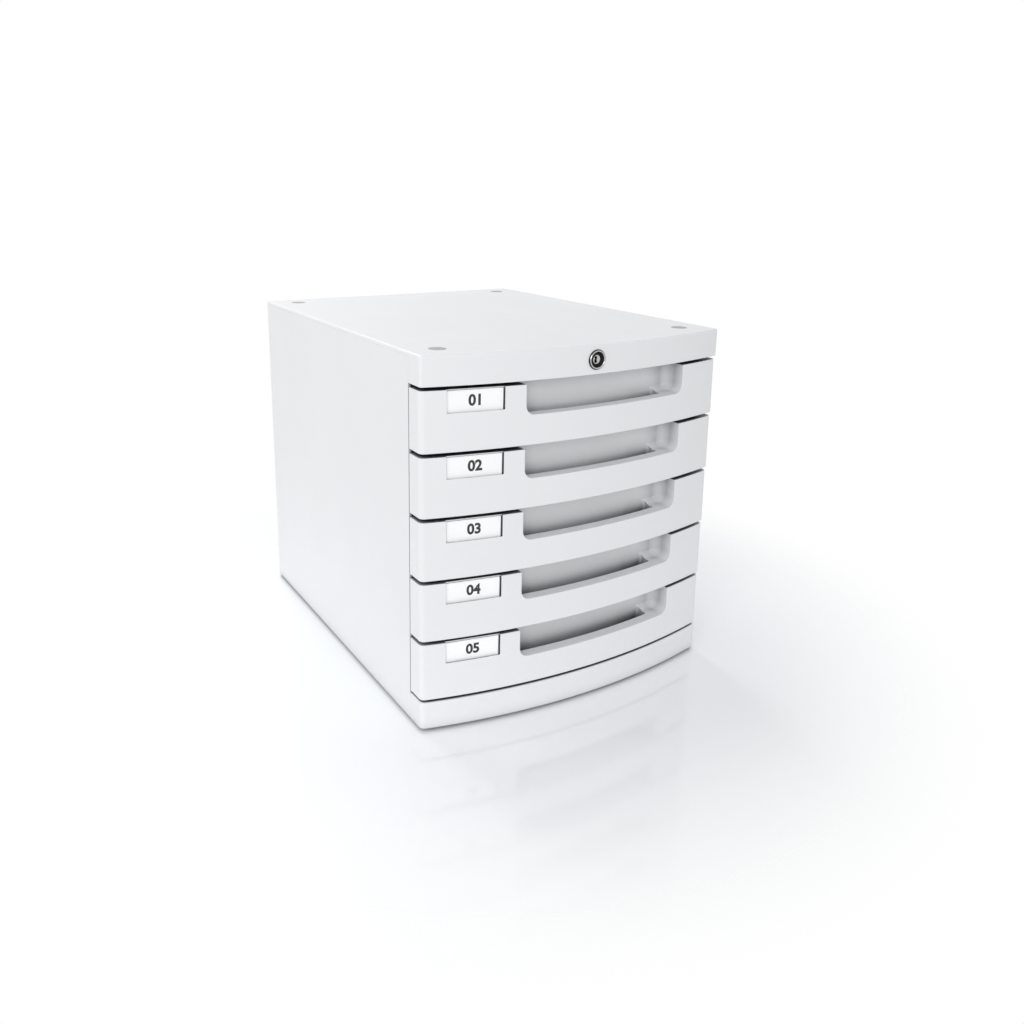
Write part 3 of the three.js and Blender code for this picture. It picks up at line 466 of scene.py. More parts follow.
def tub(outline, z, fillet, steps=6):
    """A solid whose lower edge is rounded; outline(inset) gives the plan that lies inset within it."""
    rings = []
    for step in range(steps + 1):
        angle = math.pi / 2 * step / steps
        level = z[0] + fillet * (1 - math.cos(angle))
        rings.append([(*point, level) for point in outline(fillet * (1 - math.sin(angle)))])
    rings.append([(*point, z[1]) for point in outline(0.0)])
    return from_rings(rings)


print("helpers for turned solids are ready")


# %% Adding and cutting
def plain_mesh(thing):
    """What an object looks like with its modifiers, as a mesh of its own."""
    bpy.context.view_layer.update()
    graph = bpy.context.evaluated_depsgraph_get()
    return bpy.data.meshes.new_from_object(thing.evaluated_get(graph))


def baked(piece):
    """The object with its modifiers applied."""
    mesh = plain_mesh(piece)
    piece.modifiers.clear()
    piece.data = mesh
    return piece


def worked(base, operation, tools):
    """The base with every tool added to it or cut from it."""
    for tool in tools:
        modifier = base.modifiers.new("work", "BOOLEAN")
        modifier.operation = operation
        modifier.solver = "EXACT"
        modifier.object = tool
    baked(base)
    for tool in tools:
        bpy.data.objects.remove(tool)
    return base


def added(base, *tools):
    return worked(base, "UNION", tools)


def cut(base, *tools):
    return worked(base, "DIFFERENCE", tools)


print("helpers that add and cut are ready")


# %% Rounding the sharp edges
def merged(piece):
    """Joins the points that lie on each other, and turns every face outwards."""
    work = bmesh.new()
    work.from_mesh(piece.data)
    bmesh.ops.remove_doubles(work, verts=work.verts, dist=0.002)
    bmesh.ops.recalc_face_normals(work, faces=work.faces)
    work.to_mesh(piece.data)
    work.free()
    return piece


def cleaned(piece, angle=0.05):
    """Merges stray doubles and the flat faces that the cutting left in strips."""
    work = bmesh.new()
    work.from_mesh(piece.data)
    bmesh.ops.remove_doubles(work, verts=work.verts, dist=0.02)
    bmesh.ops.dissolve_limit(work, angle_limit=math.radians(angle), verts=work.verts, edges=work.edges)
    bmesh.ops.dissolve_degenerate(work, dist=0.01, edges=work.edges)
    work.to_mesh(piece.data)
    work.free()
    return piece


def rounded(piece, width, chosen=None, angle=35.0, segments=3):
    """Rounds the sharp edges; where there is a rule, only those whose middle it chooses."""
    cleaned(piece)
    work = bmesh.new()
    work.from_mesh(piece.data)
    weight = work.edges.layers.float.new("bevel_weight_edge")
    for edge in work.edges:
        middle = (edge.verts[0].co + edge.verts[1].co) / 2
        sharp = len(edge.link_faces) == 2 and edge.calc_face_angle() > math.radians(angle)
        turned = sharp and (chosen is None or chosen(middle))
        edge[weight] = 1.0 if turned else 0.0
        edge.smooth = turned or not sharp
    for face in work.faces:
        face.smooth = True
    work.to_mesh(piece.data)
    work.free()
    modifier = piece.modifiers.new("edges", "BEVEL")
    modifier.width = width
    modifier.segments = segments
    modifier.limit_method = "WEIGHT"
    modifier.use_clamp_overlap = False
    shading = piece.modifiers.new("shading", "WEIGHTED_NORMAL")
    shading.keep_sharp = True
    return baked(piece)


print("the helpers that round edges are ready")

# %% Settling a finished piece
pieces = []


def settled(piece, name, body, material, nodes=(), lift=0.0):
    """Brings a piece to metres, names it, and lets it ride on its body in place of its CAD nodes."""
    piece.name = name
    piece.data.name = name
    piece.data.transform(Matrix.Scale(MM, 4) @ Matrix.Translation((0.0, 0.0, lift)))
    piece.data.materials.clear()
    piece.data.materials.append(material)
    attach(piece, body)
    if nodes:
        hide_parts(*nodes)
    pieces.append(piece)
    print(name, "has", len(piece.data.polygons), "faces")
    return piece


print("pieces can be settled")

# %% [markdown]
# ## The bowed outline
# The band with the lock, the drawer fronts and the plinth all follow one rule: an arc across the
# whole width, small vertical corners, straight flanks, and edges rounded all round. One such body
# could be modelled by hand. Here it is needed with many sets of sizes, from the band to the hollow of
# a drawer front, and that is a good job for Geometry Nodes. The tree draws the outline once, sweeps
# the rounded edge profile along it, closes it with lids, and leans the front back a little towards
# its top.


# %% The outline of a bowed body
def bow_outline(w, half, foremost, rise, back, corner, back_corner):
    """The arc in front, three straights, and a fillet at each of the four corners."""
    side = w.sum("ADD", foremost, rise)
    left = w.minus(half)
    left_back, left_side = w.point(left, back), w.point(left, side)
    right_side, right_back = w.point(half, side), w.point(half, back)
    bow = w.put("GeometryNodeCurveArc", {"mode": "POINTS"}, Resolution=61,
                Start=left_side, Middle=w.point(0.0, foremost), End=right_side)
    straights = []
    for start, end in ((left_back, left_side), (right_side, right_back), (right_back, left_back)):
        straights.append(w.put("GeometryNodeCurvePrimitiveLine", {"mode": "POINTS"}, Start=start, End=end))
    edges = w.put("GeometryNodeCurveToMesh", Curve=w.joined(bow, *straights))
    edges = w.put("GeometryNodeMergeByDistance", Geometry=edges, Distance=0.001)
    x, y, _ = w.coordinates()
    at_side = w.sum("GREATER_THAN", w.sum("ABSOLUTE", x), w.sum("SUBTRACT", half, 0.01))
    at_back = w.sum("GREATER_THAN", y, w.sum("SUBTRACT", back, 0.01))
    at_front = w.sum("SUBTRACT", 1.0, at_back)
    radius = w.sum("ADD", w.times(at_back, back_corner), w.times(at_front, corner))
    outline = w.put("GeometryNodeFilletCurve", {"mode": "POLY"}, Limit_Radius=True, Count=8,
                    Curve=w.put("GeometryNodeMeshToCurve", Mesh=edges), Radius=w.times(at_side, radius))
    return w.put("GeometryNodeSetCurveNormal", {"mode": "Z_UP"}, Curve=outline)


print("the outline can be drawn")


# %% The edge profile of its wall
def edge_path(w, bottom, top, low_edge, high_edge):
    """The profile of the wall. The sweep turns it over, so both its levels are given below zero."""
    down, over = w.minus(bottom), w.minus(top)
    places = (
        w.point(w.minus(low_edge), down),
        w.point(0.0, down),
        w.point(0.0, over),
        w.point(w.minus(high_edge), over),
    )
    switch = w.node("GeometryNodeIndexSwitch", {"data_type": "VECTOR"})
    while len(switch.index_switch_items) < len(places):
        switch.index_switch_items.new()
    w.feed(switch.inputs[0], w.put("GeometryNodeInputIndex"))
    for slot, place in enumerate(places):
        w.feed(switch.inputs[slot + 1], place)
    dots = w.put("GeometryNodeMeshLine", {"mode": "OFFSET"}, Count=len(places))
    path = w.put("GeometryNodeSetPosition", Geometry=dots, Position=switch.outputs[0])
    _, y, _ = w.coordinates()
    middle = w.times(w.sum("ADD", bottom, top), 0.5)
    upper = w.sum("LESS_THAN", y, w.minus(middle))
    lower = w.sum("SUBTRACT", 1.0, upper)
    turn_radius = w.sum("ADD", w.times(upper, high_edge), w.times(lower, low_edge))
    return w.put("GeometryNodeFilletCurve", {"mode": "POLY"}, Limit_Radius=True, Count=5,
                 Curve=w.put("GeometryNodeMeshToCurve", Mesh=path), Radius=turn_radius)


print("the edge profile can be drawn")


# %% Its lids, and its lean
def with_lids(w, wall, bottom, top):
    """The wall's two open rims each give the outline of a lid."""
    _, _, z = w.coordinates()
    rim = w.sum("COMPARE", w.put("GeometryNodeInputMeshEdgeNeighbors"), 1.0)
    high = w.sum("GREATER_THAN", z, w.times(w.sum("ADD", bottom, top), 0.5))
    lids = []
    for level, above in ((bottom, 0.0), (top, 1.0)):
        chosen = w.times(rim, w.sum("COMPARE", high, above))
        loop = w.put("GeometryNodeMeshToCurve", Mesh=wall, Selection=chosen)
        lid = w.put("GeometryNodeFillCurve", {"mode": "NGONS"}, Curve=loop)
        lids.append(w.put("GeometryNodeSetPosition", Geometry=lid, Offset=w.point(0.0, 0.0, level)))
    return w.put("GeometryNodeMergeByDistance", Geometry=w.joined(wall, *lids), Distance=0.01)


def leaned_back(w, body, back, bottom, top, lean):
    """All but the flat back moves back, the more the higher it lies."""
    _, y, z = w.coordinates()
    in_front = w.sum("LESS_THAN", y, w.sum("SUBTRACT", back, 1.0))
    share = w.sum("DIVIDE", w.sum("SUBTRACT", z, bottom), w.sum("SUBTRACT", top, bottom))
    shift = w.times(in_front, w.times(share, lean))
    return w.put("GeometryNodeSetPosition", Geometry=body, Offset=w.point(0.0, shift, 0.0))


print("lids and lean can be made")


# %% Geometry Nodes tree for a bowed body
def bowed_tree():
    w = Shape("bowed_body")
    half, foremost, rise, back = w.sizes("Half width", "Foremost", "Bow rise", "Back")
    corner, back_corner, bottom, top = w.sizes("Corner radius", "Back corner radius", "Bottom", "Top")
    low_edge, high_edge, lean = w.sizes("Bottom edge radius", "Top edge radius", "Lean")
    outline = bow_outline(w, half, foremost, rise, back, corner, back_corner)
    path = edge_path(w, bottom, top, low_edge, high_edge)
    wall = w.put("GeometryNodeCurveToMesh", Curve=outline, Profile_Curve=path)
    body = with_lids(w, wall, bottom, top)
    return w.finished(leaned_back(w, body, back, bottom, top, lean))


bowed_body = bowed_tree()
print("the bowed body tree has", len(bowed_body.nodes), "nodes")


# %% Growing a body from a tree
def grown(tree, mesh=None, **sizes):
    """The plain mesh that a Geometry Nodes tree gives for a starting mesh and these inputs."""
    made = keep("grown", mesh or bpy.data.meshes.new("grown"))
    modifier = made.modifiers.new("tree", "NODES")
    modifier.node_group = tree
    sockets = {s.name: s.identifier for s in tree.interface.items_tree if s.in_out == "INPUT"}
    for key, value in sizes.items():
        modifier[sockets[key.replace("_", " ")]] = value
    return baked(made)


def bowed(z, back, corner, edges, inset=0.0, lean=0.0, back_corner=1.8):
    """A solid with the cabinet's bowed outline between two levels, or with one that lies inset in it."""
    half = HALF_WIDTH - inset
    made = grown(
        bowed_body, Half_width=half,
        Foremost=FOREMOST + inset, Bow_rise=bow_at(half, inset) - FOREMOST - inset,
        Back=back, Corner_radius=corner, Back_corner_radius=back_corner, Bottom=z[0], Top=z[1],
        Bottom_edge_radius=edges[0], Top_edge_radius=edges[1], Lean=lean, Material=casing_plastic,
    )
    return merged(made)


print("bowed bodies can be grown")

# %% [markdown]
# ## Screws
# Countersunk screws hold the casing together, and small pan-head screws hold the brackets and the
# guides. A screw is one shape that repeats, so a Geometry Nodes tree makes it from a head, a shank
# and a cross cut into the head, and sets it on each of the points it is given. A true spiral thread
# would take thousands of faces that nobody sees in a hole, so rings stand for it.


# %% Geometry Nodes tree for screws
def screw_tree():
    w = Shape("screws")
    places = w.size("Places", "NodeSocketGeometry")
    top, under, height = w.sizes("Top radius", "Under radius", "Head height")
    shank, length = w.sizes("Shank radius", "Length")
    core, tip = w.times(shank, 0.8), w.minus(length)
    head = w.put("GeometryNodeMeshCone", Vertices=24, Radius_Top=top, Radius_Bottom=under, Depth=height)
    head = w.put("GeometryNodeTransform", Geometry=head, Translation=w.point(0.0, 0.0, w.minus(height)))
    reach = w.sum("SUBTRACT", length, w.times(height, 0.5))
    stem = w.put("GeometryNodeMeshCone", Vertices=16, Radius_Top=core, Radius_Bottom=core, Depth=reach)
    stem = w.put("GeometryNodeTransform", Geometry=stem, Translation=w.point(0.0, 0.0, tip))

    # Seven rings stand for the thread, and a cross is cut into the head
    step = w.times(w.sum("SUBTRACT", length, height), 0.12)
    lowest = w.sum("ADD", tip, w.times(step, 0.3))
    rows = w.put("GeometryNodeMeshLine", {"mode": "OFFSET"}, Count=7,
                 Offset=w.point(0.0, 0.0, step), Start_Location=w.point(0.0, 0.0, lowest))
    ridge = w.put("GeometryNodeMeshCone", Vertices=16, Radius_Top=shank, Radius_Bottom=core,
                  Depth=w.times(step, 0.5))
    thread = w.put("GeometryNodeRealizeInstances",
                   Geometry=w.put("GeometryNodeInstanceOnPoints", Points=rows, Instance=ridge))
    whole = w.node("GeometryNodeMeshBoolean", {"operation": "UNION", "solver": "EXACT"})
    arm, slot, deep = w.times(top, 1.2), w.times(top, 0.22), w.times(height, 0.9)
    cross = w.node("GeometryNodeMeshBoolean", {"operation": "DIFFERENCE", "solver": "EXACT"})
    for part in (head, stem, thread):
        w.tree.links.new(part, whole.inputs["Mesh 2"])
    w.tree.links.new(whole.outputs["Mesh"], cross.inputs["Mesh 1"])
    for sides in ((arm, slot, deep), (slot, arm, deep)):
        w.tree.links.new(w.put("GeometryNodeMeshCube", Size=w.point(*sides)), cross.inputs["Mesh 2"])
    turn = w.put("GeometryNodeInputNamedAttribute", {"data_type": "FLOAT_VECTOR"}, Name="turn")
    turning = w.put("FunctionNodeEulerToRotation", Euler=turn)
    return w.finished(w.put("GeometryNodeInstanceOnPoints", Points=places,
                            Instance=cross.outputs["Mesh"], Rotation=turning))


screws = screw_tree()
print("the screw tree has", len(screws.nodes), "nodes")

# %% [markdown]
# ## What repeats up the cabinet
# The five drawers stand over each other at one pitch, so the runner channels of a side panel and the
# hooks of the lock bar repeat at that pitch too. An Array modifier could do it on each object. One
# small tree does it for both, and takes the number and the pitch by name.


# %% Geometry Nodes tree for a stack
def stack_tree():
    w = Shape("stack")
    unit = w.size("Unit", "NodeSocketGeometry")
    count = w.size("Count", "NodeSocketInt")
    rise = w.point(0.0, 0.0, w.size("Pitch"))
    rows = w.put("GeometryNodeMeshLine", {"mode": "OFFSET"}, Count=count, Offset=rise)
    return w.finished(w.put("GeometryNodeInstanceOnPoints", Points=rows, Instance=unit))


stack = stack_tree()


def stacked(unit, material):
    """The unit, repeated once for each drawer."""
    made = grown(stack, unit.data, Count=DRAWERS, Pitch=PITCH, Material=material)
    bpy.data.objects.remove(unit)
    return made


print("the stack tree has", len(stack.nodes), "nodes")

# %% [markdown]
# ## Top cover
# The cover is one moulding: a flat plate, and the bowed band that carries the lock. It is hollow
# behind the band. Four sunk rounds take the caps, with a countersunk hole for a screw under each,
# and a bore in the middle of the band takes the lock. It is cut from the bowed body rather than
# modelled face by face, so that its outline is the same as that of the drawers below. Where it meets
# the side panels it stays sharp, because on the real cabinet that seam cannot be seen.

# %% Make the top cover
PAST_SIDES = (-HALF_WIDTH - 5, HALF_WIDTH + 5)
SEAM = 0.05  # how far the seam between cover and side panels is kept open
CAP_THICKNESS = 1.5
COVER_SCREW_LEVEL = CASING_TOP - CAP_THICKNESS - SEAT
BRACKETS = {"front": PANEL_FRONT + 40, "rear": REAR - 40}
BRACKET_SCREW_X = 14.0
BOSS_BOTTOM = COVER_UNDERSIDE - 2
PAD_RADIUS = 10.0  # the thick round around a screw hole
PILOT_RADIUS = 1.6  # of the hole that a small screw bites into
HEAD_ROOM, SHANK_ROOM, SCREW_ROOM_DEPTH = 3.8, 2.1, 13.3
LOCK_BORE = 6.3


def screw_room(opening, outside, level):
    """The room of a countersunk screw and of what covers it, as a profile that goes inwards."""
    way = 1 if level > outside else -1
    return [(opening, outside), (opening, level), (HEAD_ROOM, level), (SHANK_ROOM, level + 2 * way),
            (SHANK_ROOM, level + SCREW_ROOM_DEPTH * way)]


cover = bowed((FASCIA_BOTTOM, CASING_TOP), REAR, 2.5, (0.6, 1.6))
cut(
    cover,
    block(PAST_SIDES, (PANEL_FRONT - SEAM, REAR + 5), (FASCIA_BOTTOM - 5, COVER_UNDERSIDE)),
    bowed((FASCIA_BOTTOM + WALL, COVER_UNDERSIDE), PANEL_FRONT + 5, 1.2, (0.4, 0.4), inset=WALL),
)
pads = [drum(x, y, (COVER_UNDERSIDE - 3, CASING_TOP - 1.6), PAD_RADIUS) for x, y in CORNERS.values()]
bosses = [drum(BRACKET_SCREW_X, y, (BOSS_BOTTOM, CASING_TOP - 1.6), 4.5) for y in BRACKETS.values()]
added(cover, *pads, *bosses)
cap_room = screw_room(7.2, CASING_TOP + 5, COVER_SCREW_LEVEL)
rooms = [lathe(place, cap_room) for place in CORNERS.values()]
pilot_z = (BOSS_BOTTOM - 5, BOSS_BOTTOM + 2.5)
pilots = [drum(BRACKET_SCREW_X, y, pilot_z, PILOT_RADIUS, 24) for y in BRACKETS.values()]
cut(cover, *rooms, *pilots, level_drum(0.0, (FOREMOST - 5, FOREMOST + WALL + 5), LOCK_LEVEL, LOCK_BORE))


def near_corner(place, radius):
    return any(math.hypot(place.x - x, place.y - y) < radius for x, y in CORNERS.values())


def on_cover_rims(place):
    cap_rim = near_corner(place, 7.5) and place.z > CASING_TOP - 0.1
    from_lock = math.hypot(place.x, place.z - LOCK_LEVEL)
    bore_rim = place.y < FOREMOST + 1 and from_lock < LOCK_BORE + 0.2
    return cap_rim or bore_rim


settled(rounded(cover, 0.35, on_cover_rims), "cover", "casing", casing_plastic, ["top_cover"])

# %% [markdown]
# ## Base
# The base has the bowed plinth in one piece with a floor that lies between the side panels. Screws
# go up through it, and rubber feet cover them. It is made like the cover: cut from the bowed body,
# with a plate and four thick rounds added.

# %% Make the base
BASE_TOP = CASING_BOTTOM + WALL
INNER_HALF = HALF_WIDTH - WALL
BASE_SCREW_LEVEL = CASING_BOTTOM + 2.2
BASE_FRONT = -170.95  # how far the floor reaches forward into the plinth

base = bowed((CASING_BOTTOM, PLINTH_TOP), PANEL_FRONT + 5, 5.0, (1.6, 1.6))
cut(
    base,
    block(PAST_SIDES, (PANEL_FRONT - SEAM, PANEL_FRONT + 10), (CASING_BOTTOM - 5, PLINTH_TOP + 5)),
    bowed((BASE_TOP, PLINTH_TOP - WALL), PANEL_FRONT + 5, 2.5, (0.4, 0.4), inset=WALL),
)
BETWEEN_SIDES = (-INNER_HALF + SEAT, INNER_HALF - SEAT)
floor_plate = block(BETWEEN_SIDES, (BASE_FRONT, REAR), (CASING_BOTTOM, BASE_TOP))
pads = [drum(x, y, (CASING_BOTTOM, BASE_TOP + 3), PAD_RADIUS) for x, y in CORNERS.values()]
added(base, floor_plate, *pads)
foot_room = screw_room(8.2, CASING_BOTTOM - 5, BASE_SCREW_LEVEL)
cut(base, *[lathe(place, foot_room) for place in CORNERS.values()])


def on_foot_rims(place):
    return near_corner(place, 8.5) and place.z < CASING_BOTTOM + 0.1


settled(rounded(base, 0.35, on_foot_rims), "base", "casing", casing_plastic, ["base_plate"])

# %% [markdown]
# ## Side panels
# A side panel is a flat plate with all its work on the inside: two ribs that hold the back panel,
# five runner channels with a stop at the front of each, and lugs for the screws. One channel is made
# and stacked. The second panel could be a mirror image of the first, but mirroring turns a mesh
# inside out, so one function builds both sides.

# %% One runner channel
GROOVE_FRONT = 184.25
INTO_WALL = 1.2  # how far what stands on a wall reaches into it, so that both become one solid
SHELF_Z, STOP_Z, GUIDE_Z = (39.5, 41.5), (40.5, 45.5), (44.5, 46.5)  # above a drawer's lower edge
CHANNEL_REACH, STOP_REACH, STOP_LENGTH = 8.0, 2.8, 6.0


def over_first(z):
    """Levels that are given above the lower edge of the lowest drawer, as levels of the cabinet."""
    return (FIRST_FRONT + z[0], FIRST_FRONT + z[1])


def across(side, near, far):
    """Limits along X on one side of the cabinet, given from the middle outwards."""
    return (near, far) if side > 0 else (-far, -near)


def runner_channel(side):
    """The shelf, the guide over it, and the stop that joins them at the front."""
    x = across(side, INNER_HALF - CHANNEL_REACH, INNER_HALF + INTO_WALL)
    y = (PANEL_FRONT + 4, GROOVE_FRONT + 1)
    channel = block(x, y, over_first(SHELF_Z))
    stop_x = across(side, INNER_HALF - STOP_REACH, INNER_HALF + INTO_WALL)
    stop = block(stop_x, (y[0], y[0] + STOP_LENGTH), over_first(STOP_Z))
    return added(channel, block(x, y, over_first(GUIDE_Z)), stop)


print("a runner channel reaches", CHANNEL_REACH, "mm inwards from the wall")

# %% The lugs that the screws hold
LUG_GAP, LUG_THICKNESS, LUG_LENGTH, LUG_RADIUS = 3.3, 3.0, 11.0, 4.6
PAST_SCREW = (8.0, 10.0)  # how far a lug's shelf reaches past its screw, across and along


def lugs_and_holes(side):
    """Four lugs, each a small shelf with a stem for its screw, and the screws' holes."""
    x = across(side, CAP_X - PAST_SCREW[0], INNER_HALF + INTO_WALL)
    top, bottom = COVER_UNDERSIDE - LUG_GAP, BASE_TOP + LUG_GAP
    upper = ((top - LUG_THICKNESS, top), (top - LUG_LENGTH, top),
             (COVER_SCREW_LEVEL - SCREW_ROOM_DEPTH, COVER_SCREW_LEVEL))
    lower = ((bottom, bottom + LUG_THICKNESS), (bottom, bottom + LUG_LENGTH),
             (BASE_SCREW_LEVEL, BASE_SCREW_LEVEL + SCREW_ROOM_DEPTH))
    along = PAST_SCREW[1]
    reaches = {CAP_FRONT: (PANEL_FRONT + SEAT, CAP_FRONT + along),
               CAP_REAR: (CAP_REAR - along, CAP_REAR + along)}
    lugs, holes = [], []
    for middle, reach in reaches.items():
        for shelf_z, stem_z, hole_z in (upper, lower):
            stem = drum(side * CAP_X, middle, stem_z, LUG_RADIUS)
            lugs.append(added(block(x, reach, shelf_z), stem))
            holes.append(drum(side * CAP_X, middle, hole_z, SHANK_ROOM))
    return lugs, holes


print("a lug's stem is", LUG_LENGTH, "mm long")

# %% Make the side panels
REAR_EDGE = 1.8
RIB_THICKNESS, RIB_REACH = 2.0, 6.0


def side_panel(side):
    def plan(inset):
        edge = REAR_EDGE - inset
        rear = (edge, 0.0) if side > 0 else (0.0, edge)
        x, y = across(side, INNER_HALF, HALF_WIDTH - inset), (PANEL_FRONT, REAR - inset)
        return rectangle(x, y, (0.0, 0.0, *rear))

    def on_channels(place):
        return abs(place.x) < INNER_HALF - 0.2 and place.y < GROOVE_FRONT - 1 and 30 < place.z < 300

    panel = tub(plan, (CASING_BOTTOM, COVER_UNDERSIDE - SEAM), 1.6)
    rib_x = across(side, INNER_HALF - RIB_REACH, INNER_HALF + INTO_WALL)
    rib_z = (BASE_TOP + SEAT, COVER_UNDERSIDE - SEAT)
    ribs = [block(rib_x, (y, y + RIB_THICKNESS), rib_z) for y in (GROOVE_FRONT, REAR - RIB_THICKNESS)]
    lugs, holes = lugs_and_holes(side)
    added(panel, *ribs, stacked(runner_channel(side), casing_plastic), *lugs)
    cut(panel, *holes)
    return rounded(panel, 0.3, on_channels, segments=2)


for side, name in ((-1, "left"), (1, "right")):
    settled(side_panel(side), name + "_side", "casing", casing_plastic, [name + "_side_panel"])

# %% [markdown]
# ## Back panel
# A plain flat sheet slides into the grooves behind the trays. It has four blind holes, which take
# the screws of the lock bar's guides. A block with four drums cut out of it is all it needs.

# %% Make the back panel
BACK_FRONT, BACK_REAR = 186.55, 189.55
BAR_X = (-12.2, -0.0912)
BAR_Y = (183.05, 186.05)
GUIDE_LEVELS = {"lower": 79.0089, "upper": 237.4089}
GUIDE_SCREW_X = {"left": BAR_X[0] - 6.6, "right": BAR_X[1] + 6.6}

back = block(BETWEEN_SIDES, (BACK_FRONT, BACK_REAR), (BASE_TOP + SEAT, COVER_UNDERSIDE - SEAT))
cut(back, *[level_drum(x, (BACK_FRONT - 5, BACK_FRONT + 2.5), z, PILOT_RADIUS, 24)
            for z in GUIDE_LEVELS.values() for x in GUIDE_SCREW_X.values()])
settled(rounded(back, 0.4), "back", "casing", casing_plastic, ["back_panel"])

# %% [markdown]
# ## Drawer front
# The front is a bowed shell that leans back by a millimetre. Its top stays a little under the full
# height of the CAD front, because the dark gap over each real drawer is wide.
#
# The finger grip is a pocket, open at the front and at the top, whose floor is a ledge; behind the
# ledge the floor drops into a well, so fingers can hook over it. The pocket's ends turn up in
# quarter rounds and its floor turns up to the back in a flatter curve, as a mould needs.
#
# To the left of it lies the label window, a flat recess that touches the bow, with a small slot
# along its foot and a narrow dark groove at its right end.
#
# All this could be sculpted in one mesh. Cutting it step by step, first the shell, then pocket, well
# and window, follows the way its mould is cut and keeps every size in one place. All five fronts are
# the same, so one is made and copied.

# %% The room of the grip
GRIP_X = (-63.75, 102.75)
GRIP_BACK = FOREMOST + 30
LEDGE = 24.8
GRIP_CORNER, GRIP_END = 7.5, 9.0  # the quarter rounds of the ends, and the corners of the plan
GRIP_SWEEP, GRIP_RISE = 8.0, 3.6  # the curve behind the ledge: how far and how high it goes


def pocket(top):
    """The grip's room above the ledge, as rings of points from the ledge upwards."""
    steps, front, rings = 8, FOREMOST - 5, []
    for step in range(steps + 1):
        angle = math.pi / 2 * step / steps
        share, rise = 1 - math.sin(angle), GRIP_CORNER * (1 - math.cos(angle))
        back_share, back_rise = 1 - step / steps, GRIP_RISE * (step / steps) ** 2
        ring = [(GRIP_X[0] + GRIP_CORNER * share, front, LEDGE + rise)]
        for side in (-1, 1):
            x = GRIP_X[0] + GRIP_END if side < 0 else GRIP_X[1] - GRIP_END
            turns = [math.pi / 2 * part / steps for part in range(steps + 1)]
            for turn in (turns if side < 0 else reversed(turns)):
                blend = turn / (math.pi / 2)
                inset = GRIP_CORNER * share * (1 - blend) + GRIP_SWEEP * back_share * blend
                reach = GRIP_END - inset
                place = (x + side * reach * math.cos(turn), GRIP_BACK - GRIP_END + reach * math.sin(turn))
                ring.append((*place, LEDGE + rise * (1 - blend) + back_rise * blend))
        ring.append((GRIP_X[1] - GRIP_CORNER * share, front, LEDGE + rise))
        rings.append(ring)
    rings.append([(x, y, top) for x, y, _ in rings[-1]])
    return from_rings(rings)


print("the grip is", GRIP_X[1] - GRIP_X[0], "mm wide")

# %% The outline of the well behind the ledge
WELL_BOTTOM = 8.8
WELL_X = (-60.55, 85.25)
WELL_BEHIND = 11.0  # how far behind the bow the well starts
WELL_CORNER = 3.0


def well_plan(grow):
    """The well's outline, grown to all sides by so much; its front side runs along with the bow."""
    steps, x = 24, (WELL_X[0] - grow, WELL_X[1] + grow)
    front = [x[0] + (x[1] - x[0]) * step / steps for step in range(steps + 1)]
    points = [(place, bow_at(place, WELL_BEHIND - grow)) for place in front]
    points += [(x[1], GRIP_BACK + grow), (x[0], GRIP_BACK + grow)]
    return filleted(points, [WELL_CORNER] + [0.0] * (steps - 1) + [WELL_CORNER] * 3)


print("the well is", round(LEDGE - WELL_BOTTOM, 1), "mm deep")

# %% The label window and the pegs
LABEL_X = 105.6
LABEL_TURN = -math.asin(LABEL_X / BOW_RADIUS)
AT_LABEL = Matrix.Translation((-LABEL_X, bow_at(LABEL_X) + 1, 0.0)) @ Matrix.Rotation(LABEL_TURN, 4, "Z")
LABEL_HALF = 23.85
WINDOW_FRONT, WINDOW_BACK, WINDOW_FOOT, SLOT_FOOT = 0.7, 2.8, 31.2, 30.0
PEG_X, PEG_Z = 128.0, 22.0


def at_label(piece):
    piece.data.transform(AT_LABEL)
    return piece


def pegs(y, radius, sides):
    """The two level drums by which the front holds the tray, or their room."""
    return [level_drum(x, y, PEG_Z, radius, sides) for x in (-PEG_X, PEG_X)]


def off_groove(place):
    """Whether a place is away from the narrow groove at the right end of the label window."""
    spot = AT_LABEL.inverted() @ place
    return abs(spot.x - LABEL_HALF + 0.6) > 0.9 or not 0.8 < spot.y < 4.2


print("the label window is turned by", round(math.degrees(LABEL_TURN), 1), "degrees, along the bow")

# %% Make the drawer fronts
FRONT_TOP = FRONT_HEIGHT - 0.6


